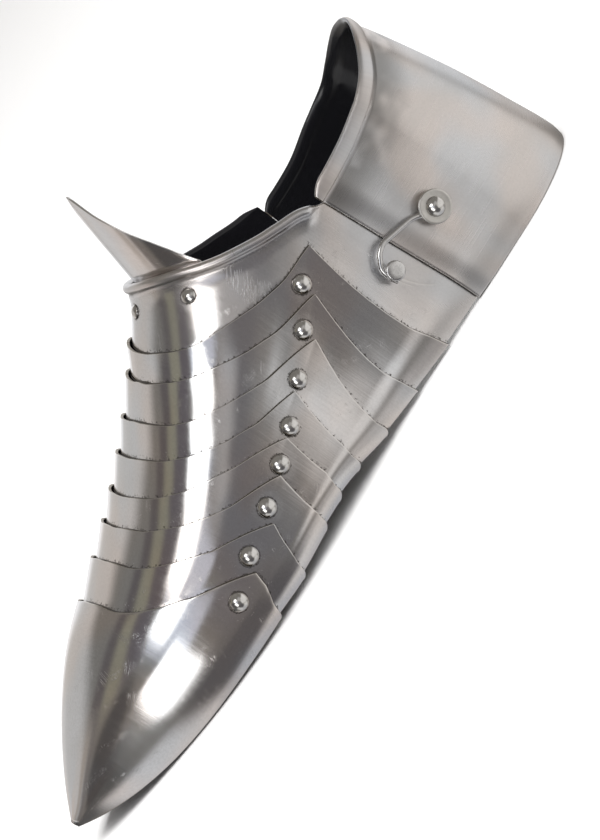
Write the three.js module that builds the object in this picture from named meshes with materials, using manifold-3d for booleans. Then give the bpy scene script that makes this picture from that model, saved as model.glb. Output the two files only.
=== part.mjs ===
// One sabaton for the left foot: an instep plate, seven lames and a toe cap on hinge rivets,
// a heel plate on a side hinge, a tongue and a hook.
// Millimetres, +Z up, +X to the toe, +Y to the outer side of the foot, which carries the hook.
import * as THREE from "three";
import { mergeVertices } from "three/addons/utils/BufferGeometryUtils.js";
import Module from "manifold-3d";

const wasm = await Module();
wasm.setup();

// Overall sizes. s is measured forward from the back of the heel.
const MIDDLE = 162.5;
const PLATE = 1.2;
const GAP = 0.3;
const SEGMENTS = 8;
const HOLE_SEGMENTS = 8;
const DRILL = 12;
const DOME_RINGS = 2;
const SEAT = 0.42;

// The outer shape of the foot: half width, and heights of the ridge, the widest line and the lower edge.
const FOOT = {
  s: [68, 84, 100, 125, 146, 166, 185, 205, 225, 250, 270, 290, 308, 320, 326.3],
  halfWidth: [40.2, 41.0, 41.5, 43.0, 45.5, 48.5, 51.0, 52.5, 52.0, 47.0, 39.5, 29.0, 17.5, 8.0, 0.6],
  ridge: [216, 192, 162.4, 126.5, 107.2, 92.2, 81.5, 71.8, 63.9, 56.2, 49.8, 39.6, 27.6, 17.9, 12.2],
  widest: [19, 18.8, 18.6, 18.4, 18.2, 18, 16.8, 15.7, 14.5, 13.8, 13.1, 12.9, 13.3, 13.2, 11.5],
  lower: [0.4, 0.6, 1.3, 2.3, 3.8, 6.9, 5.8, 3.3, 2.4, 1.7, 1.1, 1.7, 4.5, 8.1, 10.8],
};
const ROUND_SIDE = 0.95;
const ROUND_TOP = 0.85;
const TUCK = 0.08;

// Rear edges of the lames and of the toe cap, as s at each angle round the foot: 90 is the ridge,
// 0 the widest line, -90 the lower edge. Between the lower edge and the ear they sag forward.
// The edges come furthest forward a little to the outer side of the ridge, at CROWN.
const EDGE_ANGLES = [-90, -45, 0, "ear", 21, 25, 30, 37, 46, 58, 73, 81];
const EDGES = [
  {
    ear: 17,
    sag: 3.3,
    s: [100.9, 101.7, 102.9, 102.0, 116.3, 125.4, 134.5, 144.4, 154.4, 161.6, 165.5, 166.1],
  },
  {
    ear: 15,
    sag: 3.3,
    s: [122.6, 122.6, 122.7, 116.2, 133.8, 141.6, 149.5, 157.2, 165.1, 171.7, 175.4, 175.5],
  },
  {
    ear: 13,
    sag: 2.5,
    s: [141.6, 141.6, 139.6, 130.5, 151.4, 158.4, 165.4, 173.1, 180.9, 186.6, 188.8, 188.9],
  },
  {
    ear: 14,
    sag: 1.4,
    s: [158.5, 158.4, 156.6, 151.7, 168.2, 174.2, 180.8, 187.5, 193.9, 199.0, 201.2, 201.7],
  },
  {
    ear: 12,
    sag: 0.9,
    s: [172.2, 171.8, 169.6, 168.2, 182.2, 188.0, 193.6, 200.6, 207.0, 212.3, 214.7, 215.2],
  },
  {
    ear: 10,
    sag: 0.6,
    s: [185.5, 184.9, 183.9, 181.5, 199.9, 204.5, 209.5, 214.9, 219.9, 224.3, 226.0, 226.6],
  },
  {
    ear: 6,
    sag: 0.5,
    s: [205.5, 204.1, 201.5, 198.0, 217.1, 220.8, 224.8, 229.6, 234.6, 238.2, 238.9, 239.2],
  },
  {
    ear: 4,
    sag: 0.3,
    s: [223.6, 222.0, 218.1, 216.7, 236.4, 239.4, 243.3, 247.8, 251.9, 254.8, 255.0, 255.2],
  },
];
const CROWN = 81;
const PLATES = EDGES.length;
const LAME_REACH = 1.5;
const LAST_REACH = 16;

// The plates lie like parallel shingles: each starts RAISE above the foot shape and sinks by a step
// before the next one starts.
const RAISE = 1.7;
const STEP_SIDE = 1.9;
const STEP_RIDGE = 2.2;

// Hinge rivets, one a side for each lame and the toe cap: s and height.
const HINGES = {
  s: [115.8, 130.0, 146.9, 163.7, 177.9, 194.3, 213.0, 229.1],
  z: [62.3, 52.7, 44.7, 38.2, 34.1, 29.9, 25.8, 19.8],
};
const RIVET = { head: 3.75, rise: 2.3, shank: 1.5, tail: 2.6, tailThick: 0.8, hole: 1.95 };
const SMALL_RIVET = { head: 2.9, rise: 1.2, shank: 1.2, tail: 2.0, tailThick: 0.6, hole: 1.65 };

// The rim of the instep plate: s at each angle, from the seam to the middle, and its roll.
// On the inner side it starts a little further back.
const RIM = {
  angle: [15.2, 18.7, 22.8, 27.5, 33.9, 41, 50, 64, 78, 90],
  s: [86.4, 92.7, 101.2, 109.4, 117.8, 125.1, 132.0, 139.6, 144.0, 145.4],
  innerStart: 84.2,
};
const RIM_ROLL = 2.0;
const RIM_SET = 1.4;

// The back edge of the instep plate: a tab under the heel plate on the outer side, edge to edge on the
// inner side, where the two plates meet at SEAM.
const SEAM = 83;
const BACK_ANGLES = [-90, -45, 0, 12];
const BACK_OUTER = [70.5, 72, 74, 77];
const BACK_INNER = SEAM + GAP;

// The heel plate: profile of the back, side offset, front edges and the height of the rim, which stands
// higher on the outer side.
const HEEL = {
  z: [0, 5, 20, 50, 80, 96],
  back: [-2.6, -3.1, -1.4, 3.0, 9.3, 13.4],
  curveStart: 46,
  outerOffset: 1.9,
  frontZ: [0, 46, 77],
  frontOuter: [78.8, 83.0, 85.4],
  frontInner: SEAM - GAP,
  arch: 0.5,
  fraction: [0, 0.35, 0.7, 1],
  rimOuter: [80.8, 78.0, 76.5, 75.8],
  rimInner: [73.6, 70.8, 70.0, 70.2],
  curve: [0, 15, 30, 45, 60, 75, 90],
  curveOuter: [80.8, 84.2, 88.5, 92.2, 94.2, 94.6, 94.0],
  curveInner: [73.6, 75.7, 78.5, 83.4, 88.2, 92.0, 94.0],
};
const HEEL_ROLL = [1.3, 3.1];
const HEEL_ROLL_OUT = 1.0;

// The tongue behind the front of the rim: height above the rim at each angle, and how it leans.
const TONGUE = {
  angle: [46, 52, 60, 70, 80, 90],
  rise: [1.5, 8, 16, 24.5, 33.5, 43.5],
  lean: [-0.25, 0.96],
  below: 17,
};
const TONGUE_RIVETS = [
  { name: "tongue_rivet_outer", angle: 52, s: 142, side: 1 },
  { name: "tongue_rivet_middle", angle: 90, s: 153.5, side: 1 },
  { name: "tongue_rivet_inner", angle: 52, s: 142, side: -1 },
];

// The hook and its two studs on the outer side, as s and height, and the room between wire and plate.
const HOOK = {
  pivot: [62.5, 36.7],
  bend: [87.6, 45.8],
  stud: [91.8, 36.3],
  stand: 0.95,
  eye: 2.9,
  wire: 1.2,
  neck: 1.1,
  clear: 0.35,
  washer: 6.75,
  washerThick: 1.2,
  dome: 3.9,
  studHead: 4.0,
  studThick: 2.0,
};

// The hinge on the inner side: a pin through two leaves, which stand clear of the plates.
const SIDE_HINGE = {
  s: SEAM,
  clear: 0.7,
  low: 18,
  high: 54,
  barrel: 2.4,
  bore: 1.3,
  pin: 1.0,
  pinHead: 1.9,
  leaf: 1.0,
  reach: 15,
  lead: 0.8,
  rivetAt: 11.5,
  rivetUp: 8,
};

const rad = (d) => (d * Math.PI) / 180;
const clamp = (v, lo, hi) => Math.min(hi, Math.max(lo, v));

// A smooth curve through a table, by slopes between neighbours.
function smooth(xs, ys, x) {
  x = clamp(x, xs[0], xs[xs.length - 1]);
  let i = 0;
  while (i < xs.length - 2 && x > xs[i + 1]) i++;
  const slope = (k) => {
    const a = Math.max(k - 1, 0);
    const b = Math.min(k + 1, xs.length - 1);
    return (ys[b] - ys[a]) / (xs[b] - xs[a]);
  };
  const h = xs[i + 1] - xs[i];
  const t = (x - xs[i]) / h;
  const t2 = t * t;
  const t3 = t2 * t;
  return (
    (2 * t3 - 3 * t2 + 1) * ys[i] +
    (t3 - 2 * t2 + t) * h * slope(i) +
    (-2 * t3 + 3 * t2) * ys[i + 1] +
    (t3 - t2) * h * slope(i + 1)
  );
}

// Straight lines through a table.
function linear(xs, ys, x) {
  x = clamp(x, xs[0], xs[xs.length - 1]);
  let i = 0;
  while (i < xs.length - 2 && x > xs[i + 1]) i++;
  const t = (x - xs[i]) / (xs[i + 1] - xs[i]);
  return ys[i] + (ys[i + 1] - ys[i]) * t;
}

// A point of the foot shape. The angle runs from -90 on the outer lower edge over 90 at the ridge to 270 on
// the inner lower edge.
function foot(s, angle) {
  const side = angle > 90 ? -1 : 1;
  const a = angle > 90 ? 180 - angle : angle;
  const w = smooth(FOOT.s, FOOT.halfWidth, s);
  const zr = smooth(FOOT.s, FOOT.ridge, s);
  const zc = smooth(FOOT.s, FOOT.widest, s);
  const zb = smooth(FOOT.s, FOOT.lower, s);
  if (a >= 0) {
    const c = Math.max(Math.cos(rad(a)), 0) ** ROUND_SIDE;
    const n = Math.max(Math.sin(rad(a)), 0) ** ROUND_TOP;
    return new THREE.Vector3(s, side * w * c, zc + (zr - zc) * n);
  }
  const u = -a / 90;
  return new THREE.Vector3(s, side * w * (1 - TUCK * u * u), zc - (zc - zb) * u);
}

// The direction out of the foot shape at a point.
function outward(s, angle) {
  const s0 = clamp(s - 1, FOOT.s[0], FOOT.s[FOOT.s.length - 1] - 1.5);
  const alongS = foot(s0 + 1.5, angle).sub(foot(s0, angle));
  const a0 = clamp(angle, -88, 268);
  const alongA = foot(s, a0 + 2).sub(foot(s, a0 - 2));
  return new THREE.Vector3().crossVectors(alongA, alongS).normalize();
}

// The foot shape moved out by an offset, with the origin moved to the middle of the length.
function shape(s, angle, offset) {
  const p = foot(s, angle).addScaledVector(outward(s, angle), offset);
  p.x -= MIDDLE;
  return p;
}

// The direction out of the outer face of plate k, which leans a little from that of the foot shape.
function faceOut(k, s, angle) {
  const at = (ds, da) => shape(s + ds, angle + da, raise(k, s + ds, angle + da));
  const alongS = at(1.5, 0).sub(at(-1.5, 0));
  const alongA = at(0, 2).sub(at(0, -2));
  return new THREE.Vector3().crossVectors(alongA, alongS).normalize();
}

// How far up a plate's ear an angle below it lies, from 0 at the lower edge to 1 at the ear.
function shareUp(k, angle) {
  const s = EDGES[k].s[EDGE_ANGLES.indexOf(0)];
  const lowest = foot(s, -90).z;
  return (foot(s, angle).z - lowest) / (foot(s, EDGES[k].ear).z - lowest);
}

// s of the rear edge of plate k (0 is the first lame) at an angle.
function rearEdge(k, angle) {
  const past = clamp((angle - 100) / 50, 0, 1);
  const turned = 2 * CROWN - angle + (180 - 2 * CROWN) * past * past * (3 - 2 * past);
  const a = angle <= CROWN ? angle : turned;
  const e = EDGES[k];
  const xs = EDGE_ANGLES.map((v) => (v === "ear" ? e.ear : v));
  const i = EDGE_ANGLES.indexOf("ear");
  if (a > e.ear) return smooth(xs.slice(i), e.s.slice(i), a);
  const up = shareUp(k, a);
  return linear(xs.slice(0, i + 1), e.s.slice(0, i + 1), a) + 4 * e.sag * up * (1 - up);
}

const stepAt = (angle) => STEP_SIDE + (STEP_RIDGE - STEP_SIDE) * Math.max(Math.sin(rad(angle)), 0) ** 2;

// The offset of the outer face of plate k at s: -1 is the instep plate, 7 the toe cap.
function raise(k, s, angle) {
  if (k === PLATES - 1) return RAISE;
  const step = stepAt(angle);
  const start = k < 0 ? 0 : rearEdge(k, angle);
  const next = rearEdge(k + 1, angle);
  if (s <= next) return k < 0 ? RAISE - step : RAISE - (step * (s - start)) / (next - start);
  if (k + 2 >= PLATES) return RAISE - step;
  const after = rearEdge(k + 2, angle);
  return RAISE - step - (step * (s - next)) / (after - next);
}

// A closed shell between two grids of points, facing out.
function shell(outer, inner) {
  const nI = outer.length;
  const nJ = outer[0].length;
  const points = [...outer.flat(), ...inner.flat()];
  const half = nI * nJ;
  const at = (i, j, n) => n * half + i * nJ + j;
  const faces = [];
  const quad = (a, b, c, d) => faces.push([a, b, c], [a, c, d]);
  for (let i = 0; i < nI - 1; i++)
    for (let j = 0; j < nJ - 1; j++) {
      quad(at(i, j, 0), at(i + 1, j, 0), at(i + 1, j + 1, 0), at(i, j + 1, 0));
      quad(at(i, j, 1), at(i, j + 1, 1), at(i + 1, j + 1, 1), at(i + 1, j, 1));
    }
  for (let i = 0; i < nI - 1; i++) {
    quad(at(i, 0, 0), at(i, 0, 1), at(i + 1, 0, 1), at(i + 1, 0, 0));
    quad(at(i, nJ - 1, 0), at(i + 1, nJ - 1, 0), at(i + 1, nJ - 1, 1), at(i, nJ - 1, 1));
  }
  for (let j = 0; j < nJ - 1; j++) {
    quad(at(0, j, 0), at(0, j + 1, 0), at(0, j + 1, 1), at(0, j, 1));
    quad(at(nI - 1, j, 0), at(nI - 1, j, 1), at(nI - 1, j + 1, 1), at(nI - 1, j + 1, 0));
  }
  return body(points, faces);
}

// A manifold solid from points and faces, turned to face out.
function body(points, faces) {
  let six = 0;
  for (const [a, b, c] of faces) {
    six += points[a].dot(new THREE.Vector3().crossVectors(points[b], points[c]));
  }
  const tri = six < 0 ? faces.map(([a, b, c]) => [a, c, b]) : faces;
  return new wasm.Manifold(
    new wasm.Mesh({
      numProp: 3,
      vertProperties: new Float32Array(points.flatMap((p) => [p.x, p.y, p.z])),
      triVerts: new Uint32Array(tri.flat()),
    }),
  );
}

// A manifold solid from a three.js geometry.
function solidOf(geometry) {
  const bare = new THREE.BufferGeometry().setAttribute("position", geometry.getAttribute("position"));
  if (geometry.index) bare.setIndex(geometry.index);
  const merged = mergeVertices(bare, 1e-4);
  const p = merged.getAttribute("position");
  const points = [];
  for (let i = 0; i < p.count; i++) points.push(new THREE.Vector3().fromBufferAttribute(p, i));
  const faces = [];
  const index = merged.index.array;
  for (let i = 0; i < index.length; i += 3) {
    const [a, b, c] = [index[i], index[i + 1], index[i + 2]];
    if (a !== b && b !== c && c !== a) faces.push([a, b, c]);
  }
  return body(points, faces);
}

function meshOf(solid, name) {
  const m = solid.getMesh();
  const v = new Float32Array(m.numVert * 3);
  for (let i = 0; i < m.numVert; i++) {
    v.set(m.vertProperties.subarray(i * m.numProp, i * m.numProp + 3), i * 3);
  }
  const geometry = new THREE.BufferGeometry().setAttribute("position", new THREE.BufferAttribute(v, 3));
  geometry.setIndex(new THREE.BufferAttribute(new Uint32Array(m.triVerts), 1));
  geometry.computeVertexNormals();
  const mesh = new THREE.Mesh(geometry);
  mesh.name = name;
  return mesh;
}

// A solid of revolution about +Z, from a profile that starts and ends on the axis.
function turned(profile, segments = SEGMENTS) {
  const line = profile.map(([r, z]) => new THREE.Vector2(r, z));
  return solidOf(new THREE.LatheGeometry(line, segments).rotateX(Math.PI / 2));
}

// A solid moved so that its +Z lies along a direction at a point.
function placed(solid, at, direction) {
  const up = new THREE.Vector3(0, 0, 1);
  const q = new THREE.Quaternion().setFromUnitVectors(up, direction.clone().normalize());
  const m = new THREE.Matrix4().compose(at, q, new THREE.Vector3(1, 1, 1));
  return solid.transform(m.elements);
}

// A rod along a line of points, round or flattened: its radius along a side direction at each point, and
// across that.
function rod(points, [radius, across], sides, segments = 6) {
  const rings = points.map((p, i) => {
    const ahead = points[Math.min(i + 1, points.length - 1)];
    const behind = points[Math.max(i - 1, 0)];
    const t = ahead.clone().sub(behind).normalize();
    const u = sides[i].clone().addScaledVector(t, -sides[i].dot(t)).normalize();
    const v = new THREE.Vector3().crossVectors(t, u);
    return Array.from({ length: segments }, (_, j) => {
      const a = (2 * Math.PI * j) / segments;
      return p.clone().addScaledVector(u, radius * Math.cos(a)).addScaledVector(v, across * Math.sin(a));
    });
  });
  const all = [...rings.flat(), points[0], points[points.length - 1]];
  const faces = [];
  const at = (i, j) => i * segments + (j % segments);
  for (let i = 0; i < rings.length - 1; i++)
    for (let j = 0; j < segments; j++)
      faces.push([at(i, j), at(i + 1, j), at(i + 1, j + 1)], [at(i, j), at(i + 1, j + 1), at(i, j + 1)]);
  const last = rings.length - 1;
  for (let j = 0; j < segments; j++)
    faces.push([all.length - 2, at(0, j), at(0, j + 1)], [all.length - 1, at(last, j + 1), at(last, j)]);
  return body(all, faces);
}

const drill = (at, direction, radius) =>
  placed(wasm.Manifold.cylinder(DRILL, radius, radius, HOLE_SEGMENTS, true), at, direction);

// A rivet with a round head on its base point and an upset end below two plates.
function rivet(size, grip) {
  const { head, rise, shank, tail, tailThick } = size;
  const ball = (head * head + rise * rise) / (2 * rise);
  const dome = [];
  const start = Math.asin(Math.min(head / ball, 1));
  for (let i = DOME_RINGS; i >= 1; i--) {
    const a = (start * i) / DOME_RINGS;
    dome.push([ball * Math.sin(a), SEAT + rise - ball + ball * Math.cos(a)]);
  }
  return turned([
    [0, -grip - tailThick],
    [tail, -grip - tailThick],
    [tail, -grip],
    [shank, -grip],
    [shank, SEAT],
    ...dome,
    [0, SEAT + rise],
  ]);
}

const group = new THREE.Group();
group.name = "sabaton";
const add = (solid, name) => group.add(meshOf(solid, name));
const toWorld = (s, y, z) => new THREE.Vector3(s - MIDDLE, y, z);

// The angle round the foot at a height, on the outer side above the widest line.
function angleAt(s, z) {
  const zr = smooth(FOOT.s, FOOT.ridge, s);
  const zc = smooth(FOOT.s, FOOT.widest, s);
  return (Math.asin(((z - zc) / (zr - zc)) ** (1 / ROUND_TOP)) * 180) / Math.PI;
}

// Hinge rivet places and their holes.
const hingeAt = HINGES.s.map((s, k) => {
  const angle = angleAt(s, HINGES.z[k]);
  return [angle, 180 - angle].map((a) => ({ at: shape(s, a, raise(k, s, a)), out: faceOut(k, s, a) }));
});
const GRIP = 2 * PLATE + (STEP_SIDE - PLATE) + 2 * GAP;

function pierced(solid, k) {
  for (const n of [k, k + 1]) {
    if (n < 0 || n >= PLATES) continue;
    for (const h of hingeAt[n]) solid = solid.subtract(drill(h.at, h.out, RIVET.hole));
  }
  return solid;
}

// Columns round one side, from the lower edge to the ridge.
function columns(k) {
  const ear = EDGES[k].ear;
  const side = [-90, -45, 0, ear / 2, ear, (ear + 21) / 2, 21, 25, 30, 37, 46, 58, 73];
  return [...side, 90, ...side.map((a) => 180 - a).reverse()];
}

// The seven lames.
function lame(k) {
  const rows = [0, 0.34, 0.67, 1];
  const last = k + 2 >= PLATES;
  const front = (a) => (last ? rearEdge(k + 1, a) + LAST_REACH : rearEdge(k + 2, a) + LAME_REACH);
  const grid = (depth) =>
    columns(k).map((a) =>
      rows.map((r) => {
        const s = rearEdge(k, a) + (front(a) - rearEdge(k, a)) * r;
        return shape(s, a, raise(k, s, a) - depth);
      }),
    );
  return pierced(shell(grid(0), grid(PLATE)), k);
}
for (let k = 0; k < PLATES - 1; k++) add(lame(k), "lame_" + (k + 1));

// The toe cap.
function toeCap() {
  const k = PLATES - 1;
  const rows = [0, 0.15, 0.3, 0.45, 0.59, 0.72, 0.83, 0.915, 0.97, 1];
  const tip = FOOT.s[FOOT.s.length - 1];
  const grid = (depth) =>
    columns(k).map((a) =>
      rows.map((r) => {
        const s0 = rearEdge(k, a);
        const s = s0 + (tip - s0) * r;
        return shape(s, a, raise(k, s, a) - depth);
      }),
    );
  return pierced(shell(grid(0), grid(PLATE)), k);
}
add(toeCap(), "toe_cap");

// The instep plate and its rolled rim.
const RIM_START = RIM.angle[0];
const INNER_RIM = [RIM.innerStart, ...RIM.s.slice(1)];
const folded = (angle) => (angle > 90 ? 180 - angle : angle);
const rimAt = (angle) => smooth(RIM.angle, angle > 90 ? INNER_RIM : RIM.s, folded(angle));
function instepPlate() {
  const side = [...BACK_ANGLES, ...RIM.angle.slice(0, -1)];
  const angles = [...side, 90, ...side.map((a) => 180 - a).reverse()];
  const back = (angle) => {
    const a = folded(angle);
    if (a >= RIM_START) return rimAt(angle);
    return angle > 90 ? BACK_INNER : linear(BACK_ANGLES, BACK_OUTER, a);
  };
  const rows = [0, 0.22, 0.45, 0.7, 1];
  const grid = (depth) =>
    angles.map((a) =>
      rows.map((r) => {
        const s0 = back(a);
        const s = s0 + (rearEdge(1, a) + LAME_REACH - s0) * r;
        return shape(s, a, raise(-1, s, a) - depth);
      }),
    );
  const path = [...RIM.angle, ...RIM.angle.slice(0, -1).map((a) => 180 - a).reverse()];
  const ends = path.map((a) => {
    const s = rimAt(a) + RIM_SET;
    return { at: shape(s, a, raise(-1, s, a) - PLATE + RIM_ROLL), side: outward(s, a) };
  });
  const roll = rod(ends.map((e) => e.at), [RIM_ROLL, RIM_ROLL], ends.map((e) => e.side));
  let plate = pierced(shell(grid(0), grid(PLATE)).add(roll), -1);
  for (const t of tonguePlaces) plate = plate.subtract(drill(t.at, t.out, SMALL_RIVET.hole));
  return plate;
}

// The tongue: behind the front of the instep plate below the rim, free above it.
const TONGUE_DEPTH = PLATE + 0.75;
const tonguePlaces = TONGUE_RIVETS.map(({ name, angle, s, side }) => {
  const a = side < 0 ? 180 - angle : angle;
  return { name, at: shape(s, a, raise(-1, s, a)), out: outward(s, a) };
});
function tongue() {
  const side = TONGUE.angle.slice(0, -1);
  const angles = [...side, 90, ...side.map((a) => 180 - a).reverse()];
  const below = [1, 0.66, 0.33, 0];
  const above = [0.25, 0.5, 0.75, 1];
  const lean = new THREE.Vector3(TONGUE.lean[0], 0, TONGUE.lean[1]).normalize();
  const grid = (depth) =>
    angles.map((angle) => {
      const s0 = rimAt(angle);
      const base = raise(-1, s0, angle) - TONGUE_DEPTH - depth;
      const rise = linear(TONGUE.angle, TONGUE.rise, folded(angle));
      const foot0 = shape(s0, angle, base);
      return [
        ...below.map((r) => shape(s0 + TONGUE.below * r, angle, base)),
        ...above.map((r) => foot0.clone().addScaledVector(lean, Math.max(rise, 0.5) * r)),
      ];
    });
  let plate = shell(grid(0), grid(PLATE));
  for (const t of tonguePlaces) plate = plate.subtract(drill(t.at, t.out, SMALL_RIVET.hole));
  return plate;
}
add(tongue(), "tongue");
for (const t of tonguePlaces) {
  add(placed(rivet(SMALL_RIVET, PLATE + TONGUE_DEPTH + 2 * GAP), t.at, t.out), t.name);
}

// Hinge rivets.
HINGES.s.forEach((_, k) => {
  const label = k < PLATES - 1 ? "lame_" + (k + 1) : "toe_cap";
  hingeAt[k].forEach((h, side) =>
    add(placed(rivet(RIVET, GRIP), h.at, h.out), label + (side ? "_rivet_inner" : "_rivet_outer")),
  );
});

// The heel plate. Its sides carry on the foot shape, and its plan closes behind the heel.
const sideAt = (z) => {
  const s = FOOT.s[1];
  const widest = smooth(FOOT.s, FOOT.widest, s);
  if (z >= widest) return foot(s, angleAt(s, z)).y;
  const u = (widest - z) / (widest - smooth(FOOT.s, FOOT.lower, s));
  return foot(s, -90 * clamp(u, 0, 1)).y;
};
const FORWARD = HEEL.fraction.slice(1).reverse();
const heelColumns = [
  ...FORWARD.map((f) => ({ f, curve: 0, side: 1 })),
  ...HEEL.curve.map((c) => ({ f: 0, curve: c, side: 1 })),
  ...HEEL.curve.slice(0, -1).reverse().map((c) => ({ f: 0, curve: c, side: -1 })),
  ...FORWARD.slice().reverse().map((f) => ({ f, curve: 0, side: -1 })),
];
function heelRim(c) {
  if (c.f > 0) return smooth(HEEL.fraction, c.side > 0 ? HEEL.rimOuter : HEEL.rimInner, c.f);
  return smooth(HEEL.curve, c.side > 0 ? HEEL.curveOuter : HEEL.curveInner, c.curve);
}
const heelFoot = (c) => HEEL.arch * c.f * c.f;

function heelPoint(c, z, depth) {
  const back = smooth(HEEL.z, HEEL.back, z);
  const start = HEEL.curveStart;
  const turn = rad(c.curve);
  const outerOffset = c.side > 0 ? HEEL.outerOffset : 0;
  const w = sideAt(z) + outerOffset - depth;
  const front = c.side > 0 ? linear(HEEL.frontZ, HEEL.frontOuter, z) : HEEL.frontInner;
  const s = c.f > 0 ? start + (front - start) * c.f : start - (start - back - depth) * Math.sin(turn);
  return toWorld(s, c.side * w * Math.cos(turn) ** 0.95, z);
}
function heelPlate() {
  const rows = [0, 0.12, 0.3, 0.5, 0.7, 0.87, 1];
  const grid = (depth) =>
    heelColumns.map((c) => {
      const low = heelFoot(c);
      const high = heelRim(c);
      return rows.map((r) => heelPoint(c, low + (high - low) * r, depth));
    });
  const ends = heelColumns.map((c) => {
    const z = heelRim(c);
    const p = heelPoint(c, z, PLATE);
    const q = heelPoint(c, z, 0);
    const out = q.clone().sub(p).normalize();
    return { at: p.clone().addScaledVector(out, HEEL_ROLL_OUT), side: out };
  });
  const roll = rod(ends.map((e) => e.at), HEEL_ROLL, ends.map((e) => e.side));
  return shell(grid(0), grid(PLATE)).add(roll);
}

// The hook, its pivot and the stud it catches.
const heelOuter = (z) => sideAt(z) + HEEL.outerOffset;
const hookOut = heelOuter(HOOK.pivot[1]) + HOOK.stand + HOOK.wire;
const pivotAt = toWorld(HOOK.pivot[0], hookOut, HOOK.pivot[1]);
const studAt = toWorld(HOOK.stud[0], hookOut, HOOK.stud[1]);
const OUTER = new THREE.Vector3(0, 1, 0);
function hookWire() {
  const [px, pz] = HOOK.pivot;
  const [bx, bz] = HOOK.bend;
  const [sx, sz] = HOOK.stud;
  const round = (radius, a) => [px + radius * Math.cos(a), pz + radius * Math.sin(a)];
  const points = [];
  const heading = Math.atan2(bz - pz, bx - px);
  const full = 2 * Math.PI - 1.0;
  for (let i = 0; i <= 10; i++) points.push(round(HOOK.eye, heading - 0.5 - full + (full * i) / 10));
  points.push([px + 8, pz + 5.2]);
  points.push([bx - 8, bz - 1.9]);
  points.push([bx - 3, bz - 0.2]);
  points.push([bx, bz]);
  points.push([bx + 2.6, bz - 0.9]);
  const radius = Math.hypot(sx - px, sz - pz) + HOOK.neck + HOOK.wire + HOOK.clear;
  const studAngle = Math.atan2(sz - pz, sx - px);
  for (let i = 0; i <= 4; i++) points.push(round(radius, studAngle + 0.21 - (0.33 * i) / 4));
  const line = points.map(([s, z]) => toWorld(s, hookOut, z));
  return rod(line, [HOOK.wire, HOOK.wire], line.map(() => OUTER), 6);
}
let heel = heelPlate();
heel = heel.subtract(drill(pivotAt.clone().setY(heelOuter(HOOK.pivot[1])), OUTER, 1.5));
const washerLow = hookOut + HOOK.wire + GAP;
const ring = (inner, outer, low, high) =>
  wasm.Manifold.cylinder(high - low, outer, outer, 20)
    .subtract(wasm.Manifold.cylinder(high - low + 2, inner, inner, 12).translate([0, 0, -1]));
const washer = ring(1.5, HOOK.washer, 0, HOOK.washerThick);
add(placed(washer, pivotAt.clone().setY(washerLow), OUTER), "hook_washer");
const pivotInside = heelOuter(HOOK.pivot[1]) - PLATE - GAP;
const pivotTop = washerLow + HOOK.washerThick;
add(
  placed(
    rivet({ head: HOOK.dome, rise: 2.2, shank: 1.2, tail: 2.6, tailThick: 0.8 }, pivotTop - pivotInside),
    pivotAt.clone().setY(pivotTop),
    OUTER,
  ),
  "hook_pivot",
);
add(hookWire(), "hook");
const instepOuter = shape(HOOK.stud[0], angleAt(HOOK.stud[0], HOOK.stud[1]), RAISE - stepAt(15)).y;
const studInside = instepOuter - PLATE - 2 * GAP;
const studLow = hookOut + HOOK.wire + GAP;
const studSolid = turned([
  [0, studInside - 0.8],
  [2.4, studInside - 0.8],
  [2.4, studInside],
  [HOOK.neck, studInside],
  [HOOK.neck, studLow],
  [HOOK.studHead - 0.4, studLow],
  [HOOK.studHead, studLow + 0.5],
  [HOOK.studHead, studLow + HOOK.studThick - 0.6],
  [HOOK.studHead - 0.6, studLow + HOOK.studThick],
  [0, studLow + HOOK.studThick],
]);
add(placed(studSolid, studAt.clone().setY(0), OUTER), "hook_stud");

// The hinge on the inner side.
const h = SIDE_HINGE;
const near = h.barrel * 0.55;
const leafStart = near + h.lead;
const innerFace = (s, angle) => -shape(s, angle, raise(-1, s, angle)).y;
const hingeOut = innerFace(h.s + leafStart + h.reach, 180) + h.clear + h.barrel;
const leafFace = -hingeOut + h.barrel - h.leaf;
const hingeAxis = toWorld(h.s, -hingeOut, 0);
const knuckles = 3;
const tall = (h.high - h.low) / knuckles;
function leaf(forward) {
  const start = (from, long) => (forward ? hingeAxis.x + from : hingeAxis.x - from - long);
  let solid = wasm.Manifold.cube([h.reach, h.leaf, h.high - h.low])
    .translate([start(leafStart, h.reach), leafFace, h.low]);
  for (let i = 0; i < knuckles; i++) {
    if ((i % 2 === 0) !== forward) continue;
    const low = h.low + tall * i + (i ? GAP / 2 : 0);
    const high = h.low + tall * (i + 1) - (i < knuckles - 1 ? GAP / 2 : 0);
    const knuckle = wasm.Manifold.cylinder(high - low, h.barrel, h.barrel, 14);
    solid = solid.add(knuckle.translate([hingeAxis.x, hingeAxis.y, low]));
    const strap = leafStart + h.lead;
    const tab = wasm.Manifold.cube([strap, h.leaf, high - low]);
    solid = solid.add(tab.translate([start(0, strap), leafFace, low]));
  }
  const bore = wasm.Manifold.cylinder(h.high - h.low + 4, h.bore, h.bore, 12);
  return solid.subtract(bore.translate([hingeAxis.x, hingeAxis.y, h.low - 2]));
}
add(
  placed(
    turned([
      [0, h.low - 1.2],
      [h.pinHead, h.low - 1.2],
      [h.pinHead, h.low - GAP],
      [h.pin, h.low - GAP],
      [h.pin, h.high + GAP],
      [h.pinHead, h.high + GAP],
      [h.pinHead, h.high + 1.2],
      [0, h.high + 1.2],
    ]),
    hingeAxis,
    new THREE.Vector3(0, 0, 1),
  ),
  "hinge_pin",
);
const INNER = new THREE.Vector3(0, -1, 0);
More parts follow.
